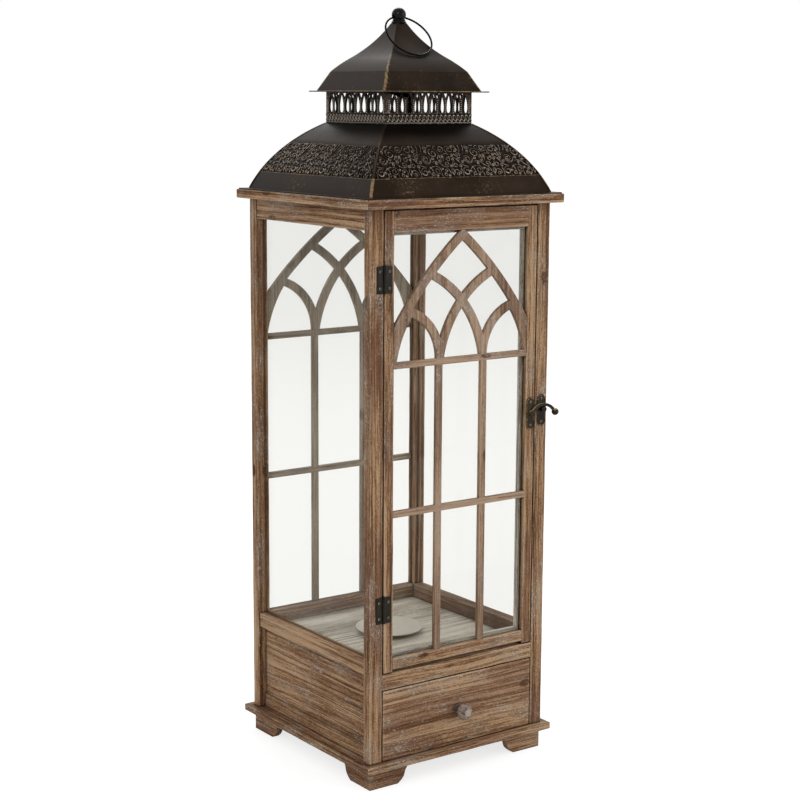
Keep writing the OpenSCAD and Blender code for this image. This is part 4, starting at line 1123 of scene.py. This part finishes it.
# %% Ribs, beads and frieze
RIB_OUT, RIB_R = 0.35, 0.32
SWELLS, BEAD_THIN, BEAD_MORE = 7, 0.25, 0.4
LOOP, LOOP_RISE = 5.2, 0.9


def rim(outline, offset, radius, face):
    """Each outline point (x, z), moved out by the offset, is the middle of a five-sided ring.

    A ring's point goes outwards by the radius times the cosine of its angle, and forwards from the
    face by the radius times the sine.
    """
    ahead = np.roll(outline, -1, axis=0) - np.roll(outline, 1, axis=0)
    ahead /= np.linalg.norm(ahead, axis=1, keepdims=True)
    outward = as_points(ahead[:, 1], -ahead[:, 0])[:, None]
    t = np.linspace(0, 2 * np.pi, 5, endpoint=False)
    flat = outline[:, None] + offset * outward + radius * np.cos(t)[:, None] * outward
    return as_points(flat[..., 0], face - radius * np.sin(t), flat[..., 1])


def ribs(turns):
    """One rim round every lancet of a side."""
    one = rim(outline, RIB_OUT, RIB_R, -gallery_half)
    # the ribs' shading value gives them a little of the painted ridge highlight
    values = {"wear_and_highlight": np.full(one.shape[:2], 0.3), "relief_shading": np.full(one.shape[:2], 0.4)}
    places = (np.arange(BAYS) + 0.5) * pitch - inner_width / 2
    return [loft(on_side((one + (x, 0, 0)) * MM, turns), values, closed_path=True)
            for x in places]


def beads(turns):
    """A rod up each column, to just below its triangle, swells as thin + more |sin(height)|."""
    count = 6 * SWELLS + 1
    z = np.linspace(lancet_foot - 0.5, lancet_head - triangle - 0.4, count)[:, None]
    wave = np.abs(np.sin(np.linspace(0, SWELLS * np.pi, count)))[:, None]
    radius = BEAD_THIN + BEAD_MORE * wave
    t = np.linspace(0, 2 * np.pi, 6, endpoint=False)
    swell = radius / (BEAD_THIN + BEAD_MORE) + 0 * t
    made = []
    for column in range(BAYS + 1):
        x0 = pitch * column - inner_width / 2
        x0 = np.clip(x0, -gallery_half + 1.4, gallery_half - 1.4)
        rings = as_points(x0 + radius * np.cos(t), radius * np.sin(t) - gallery_half, z) * MM
        wear_and_highlight = 0.35 * swell + 0.3 * (column in (0, BAYS))
        # the shading value paints a highlight on each swell of the beads
        made.append(loft(on_side(rings, turns), {"wear_and_highlight": wear_and_highlight, "relief_shading": 1.6 * swell - 0.7}))
    return made


def frieze(turns):
    """A panel whose height is a row of slanting loops between two fine beads.

    Each line's height falls off as exp(-(distance / width)^2), and the highest line counts.
    """
    x = np.linspace(-gallery_half + 0.4, gallery_half - 0.4, 260)[:, None]
    z = np.linspace(0.5, STRIP - 0.5, 24)[None, :]
    slant = x + 0.45 * (z - STRIP / 2)
    p = np.mod(slant + LOOP / 2, LOOP) - LOOP / 2
    oval_far = np.abs(np.hypot(p / 1.7, (z - STRIP / 2 - 0.2) / 2.9) - 1) * 1.9
    q = np.mod(slant, LOOP) - LOOP / 2
    bud_far = np.hypot(q, z - STRIP / 2 + 1.2)
    bead_far = np.minimum(np.abs(z - 1.1), np.abs(z - STRIP + 1.0)) + 0 * x
    rise = np.maximum.reduce([np.exp(-(far / width) ** 2) for far, width in
                              ((oval_far, 0.5), (bud_far, 0.8), (bead_far, 0.4))])
    rise = rise * np.clip(np.minimum(z - 0.5, STRIP - 0.5 - z) / 0.3, 0, 1)
    front = as_points(x, -gallery_half - LOOP_RISE * rise, top_z + z)
    back = as_points(x, 0.3 - gallery_half, top_z + z)[:, ::-6]
    rings = np.concatenate([front, back], axis=1) * MM
    hidden = np.zeros(back.shape[:2])
    # the shading value paints a highlight on the raised loops and gives the hollows a darker colour
    values = {key: np.concatenate([value, hidden], axis=1)
              for key, value in (("wear_and_highlight", 0.20 + 0.15 * rise), ("relief_shading", 1.6 * rise - 0.6))}
    return [loft(on_side(rings, turns), values)]


for name, make, sharp in (("gallery_ribs", ribs, 42), ("gallery_column_beads", beads, 60),
                          ("gallery_frieze", frieze, 60)):
    mesh = mesh_of(name, together([part for turns in range(4) for part in make(turns)]))
    piece(mesh, gallery_metal, "frame", sharp=sharp)
    print(f"{name}: {len(mesh.polygons)} faces")

# %% [markdown]
# ## Finial and carrying ring
# The finial is a black lacquered ball on a small turned neck, drilled for the ring. The ring is a
# plain wire bent round and closed: a circle carried round a circle. Its middle and its lean
# follow from the box of its node and the place of its joint.

# %% Finial and ring
ball = softened("finial", "finial_ball", 0.25 * MM, sharp_from=35)
piece(ball, black_ball, "frame", ("finial",), sharp=30)

ring_joint = next(joint for joint in frame["joints"] if joint["child"] == "ring")
pivot = np.array(ring_joint["pos_m"])
low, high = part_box("carry_ring")
centre = np.array((low + high) / 2)
ring_r = np.linalg.norm((centre - pivot)[1:])
wire = (high.x - low.x) / 2 - ring_r
down = (centre - pivot) / ring_r
a = np.linspace(0, 2 * np.pi, 96, endpoint=False)[:, None]
radial = np.cos(a) * down + np.sin(a) * np.array([1, 0, 0])
axis = np.cross(down, [1, 0, 0])
b = np.linspace(0, 2 * np.pi, 14, endpoint=False)[None, :, None]
round_wire = np.cos(b) * radial[:, None] + np.sin(b) * axis
rings = centre + ring_r * radial[:, None] + wire * round_wire
hoop = loft(rings, {"wear_and_highlight": np.zeros(rings.shape[:2])}, closed_path=True)
piece(mesh_of("carry_ring_wire", hoop), black_wire, "ring", ("carry_ring",))
across, thick = (round(2 * radius / MM, 1) for radius in (ring_r, wire))
print("the ring is", across, "mm across, of", thick, "mm wire")

# %% [markdown]
# ## The candle dish
# A shallow pan pressed from thin sheet and painted grey: a flat middle, a sloping wall and a
# rolled rim. Its section goes out along the top, round the rim and back underneath.

# %% Dish
low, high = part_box("candle_dish")
DISH_T, DISH_FLAT, DISH_SEAT, DIMPLE = 1.0, 16.0, 2.5, 4.0
dish_r, rim_h = (high.x - low.x) / 2 / MM, (high.z - low.z) / MM
dimple_z = DISH_SEAT - 1.1
foot_r = DISH_FLAT * 0.7
seat_under, dimple_under = DISH_SEAT - DISH_T, dimple_z - DISH_T
outline = np.vstack([[(0.3, dimple_z), (DIMPLE - 0.8, dimple_z), (DIMPLE, DISH_SEAT),
                      (DISH_FLAT - 1, DISH_SEAT)],
                     arc((DISH_FLAT - 1, DISH_SEAT + 5), 5, -88, -72, 4),
                     [(dish_r - 2.2, rim_h - 0.9)],
                     arc((dish_r - 0.75, rim_h - 0.75), 0.75, 120, -90, 9),
                     [(dish_r - 2.4, rim_h - 1.9), (DISH_FLAT + 0.6, seat_under + 0.1),
                      (foot_r, seat_under), (foot_r, 0), (foot_r - DISH_T, 0),
                      (foot_r - DISH_T, seat_under), (DIMPLE + DISH_T, seat_under),
                      (DIMPLE, dimple_under), (0.3, dimple_under)]])
middle = np.array([(low.x + high.x) / 2, (low.y + high.y) / 2, low.z])
rings = turned(outline * MM, 96) + middle
pan = mesh_of("candle_dish_pan", loft(rings, {"wear_and_highlight": np.zeros(rings.shape[:2])}))
piece(pan, grey_steel, "frame", ("candle_dish",), sharp=30)
print("the dish is", round(2 * dish_r, 1), "mm wide and", round(rim_h, 1), "mm high")

# %% [markdown]
# ## Hinges, nails and latch plates
# The ironwork is small and simple: leaves with rolled knuckles, nail heads and pierced plates.
# Softened copies of the solids give them rounded rims.

# %% Ironwork
# for each node: name, material, slot, rounding in mm, wear of the rims (on nail heads also a painted highlight)
# and a painted highlight on upward faces
IRONWORK = {
    "hinge_post_leaves": ("hinge_leaves_on_post", dark_iron, "dark_iron", 0.2, 0.4, 0.0),
    "hinge_door_leaves": ("hinge_leaves_on_door", dark_iron, "dark_iron", 0.2, 0.4, 0.0),
    "frame_nails": ("nails_in_frame", nail_steel, "dark_iron", 0.4, 0.7, 0.0),
    "door_nails": ("nails_in_door", nail_steel, "dark_iron", 0.4, 0.7, 0.0),
    "latch_plate": ("latch_plate_on_door", aged_brass, "antique_brass", 0.35, 0.9, 0.0),
    "catch_plate": ("catch_plate_on_post", aged_brass, "antique_brass", 0.35, 0.9, 0.0),
    "latch_lever": ("latch_lever_swan_neck", aged_brass, "antique_brass", 0.6, 0.4, 0.7),
}
for node, (name, material, slot, width, on_rims, top_highlight) in IRONWORK.items():
    mesh = softened(node, name, width * MM, sharp_from=35)
    rims = read(mesh.attributes["edge"].data, "value")
    upward_highlight = np.clip(read(mesh.vertices, "normal", 3)[:, 2], 0, 1)
    # the wear value also carries a painted highlight on the upward faces of the lever
    write(mesh, "wear_and_highlight", on_rims * rims + top_highlight * upward_highlight)
    piece(mesh, material, body_of[node], (node,), sharp=35)
print(len(IRONWORK), "fittings have rounded rims")

# %% Raised borders of the latch plates
PLATE_T, INSET, BORDER_R = 1.0, 0.6, 0.32


def plate_border(node, pointed):
    """A bead round the plate's outline: a round foot, straight sides, a round or pointed head."""
    low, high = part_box(node)
    w, h = (high.x - low.x) / 2 / MM - INSET, (high.z - low.z) / 2 / MM - INSET
    side = np.stack([np.full(6, w), np.linspace(w - h, h - w, 6)], axis=-1)
    head = arc((0, h - w), w, 0, 180, 15)
    if pointed:
        shoulder, tip = h - 0.85 * w, h - 0.08 * w
        head = np.array([(w, shoulder), (0.25 * w, tip), (-0.25 * w, tip), (-w, shoulder)])
    outline = np.vstack([arc((0, w - h), w, -176, -4, 15), side[1:-1], head,
                         (side * (-1, 1))[-2:0:-1]])
    middle = ((low.x + high.x) / 2 / MM, 0, (low.z + high.z) / 2 / MM)
    rings = rim(outline, 0.0, BORDER_R, high.y / MM - PLATE_T) + middle
    border = loft(rings * MM, {"wear_and_highlight": np.full(rings.shape[:2], 0.42)}, closed_path=True)
    mesh = mesh_of(node + "_border", border)
    piece(mesh, aged_brass, body_of[node], sharp=60)


plate_border("latch_plate", False)
plate_border("catch_plate", True)
print("each plate has a bead", BORDER_R, "mm high round its rim")

# %% [markdown]
# ## Glass
# The panes are thin, clear window glass. Light has to fall through them onto the floor of the
# chamber. So for shadow rays and for scattered light the material turns transparent. Real glass
# has an IOR of 1.5; here it is matched at 1.13, because clean panes in even light mirror almost
# nothing. The solids are the right shape already, and keep their own meshes.

# %% Glass and the solids that stay
pane, t = new_material("thin_clear_window_glass")
glass = add(t, "BsdfPrincipled", {"Base Color": linear("#f2f2f0"), "Roughness": 0.0, "IOR": 1.13,
                                  "Transmission Weight": 1.0})
clear = add(t, "BsdfTransparent", {"Color": linear("#f8f8f5")})
shadow = add(t, "LightPath", out="Is Shadow Ray")
passing = add(t, "Math", {0: shadow, 1: shadow.node.outputs["Is Diffuse Ray"]}, operation="MAXIMUM")
add(t, "OutputMaterial", {0: add(t, "MixShader", {0: passing, 1: glass, 2: clear})})

kept = {"glass_left": pane, "glass_right": pane, "glass_back": pane, "door_glass": pane,
        "hinge_pins": dark_iron, "dish_screw": grey_steel, "knob_screw": dark_iron}
for node, material in kept.items():
    mesh = frame["nodes"][node].data
    mesh.materials.clear()
    mesh.materials.append(material)
print(len(kept), "solids stay: the panes, the hinge pins and two screws")

# %% [markdown]
# ## Sizes
# The dressed lantern is meant to stay inside the solid model. Both boxes are printed.

# %% Print both boxes
dressed_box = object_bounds()
for title, box in (("solid", solid_box), ("dressed", dressed_box)):
    print(title, [round(value, 4) for corner in box for value in corner])
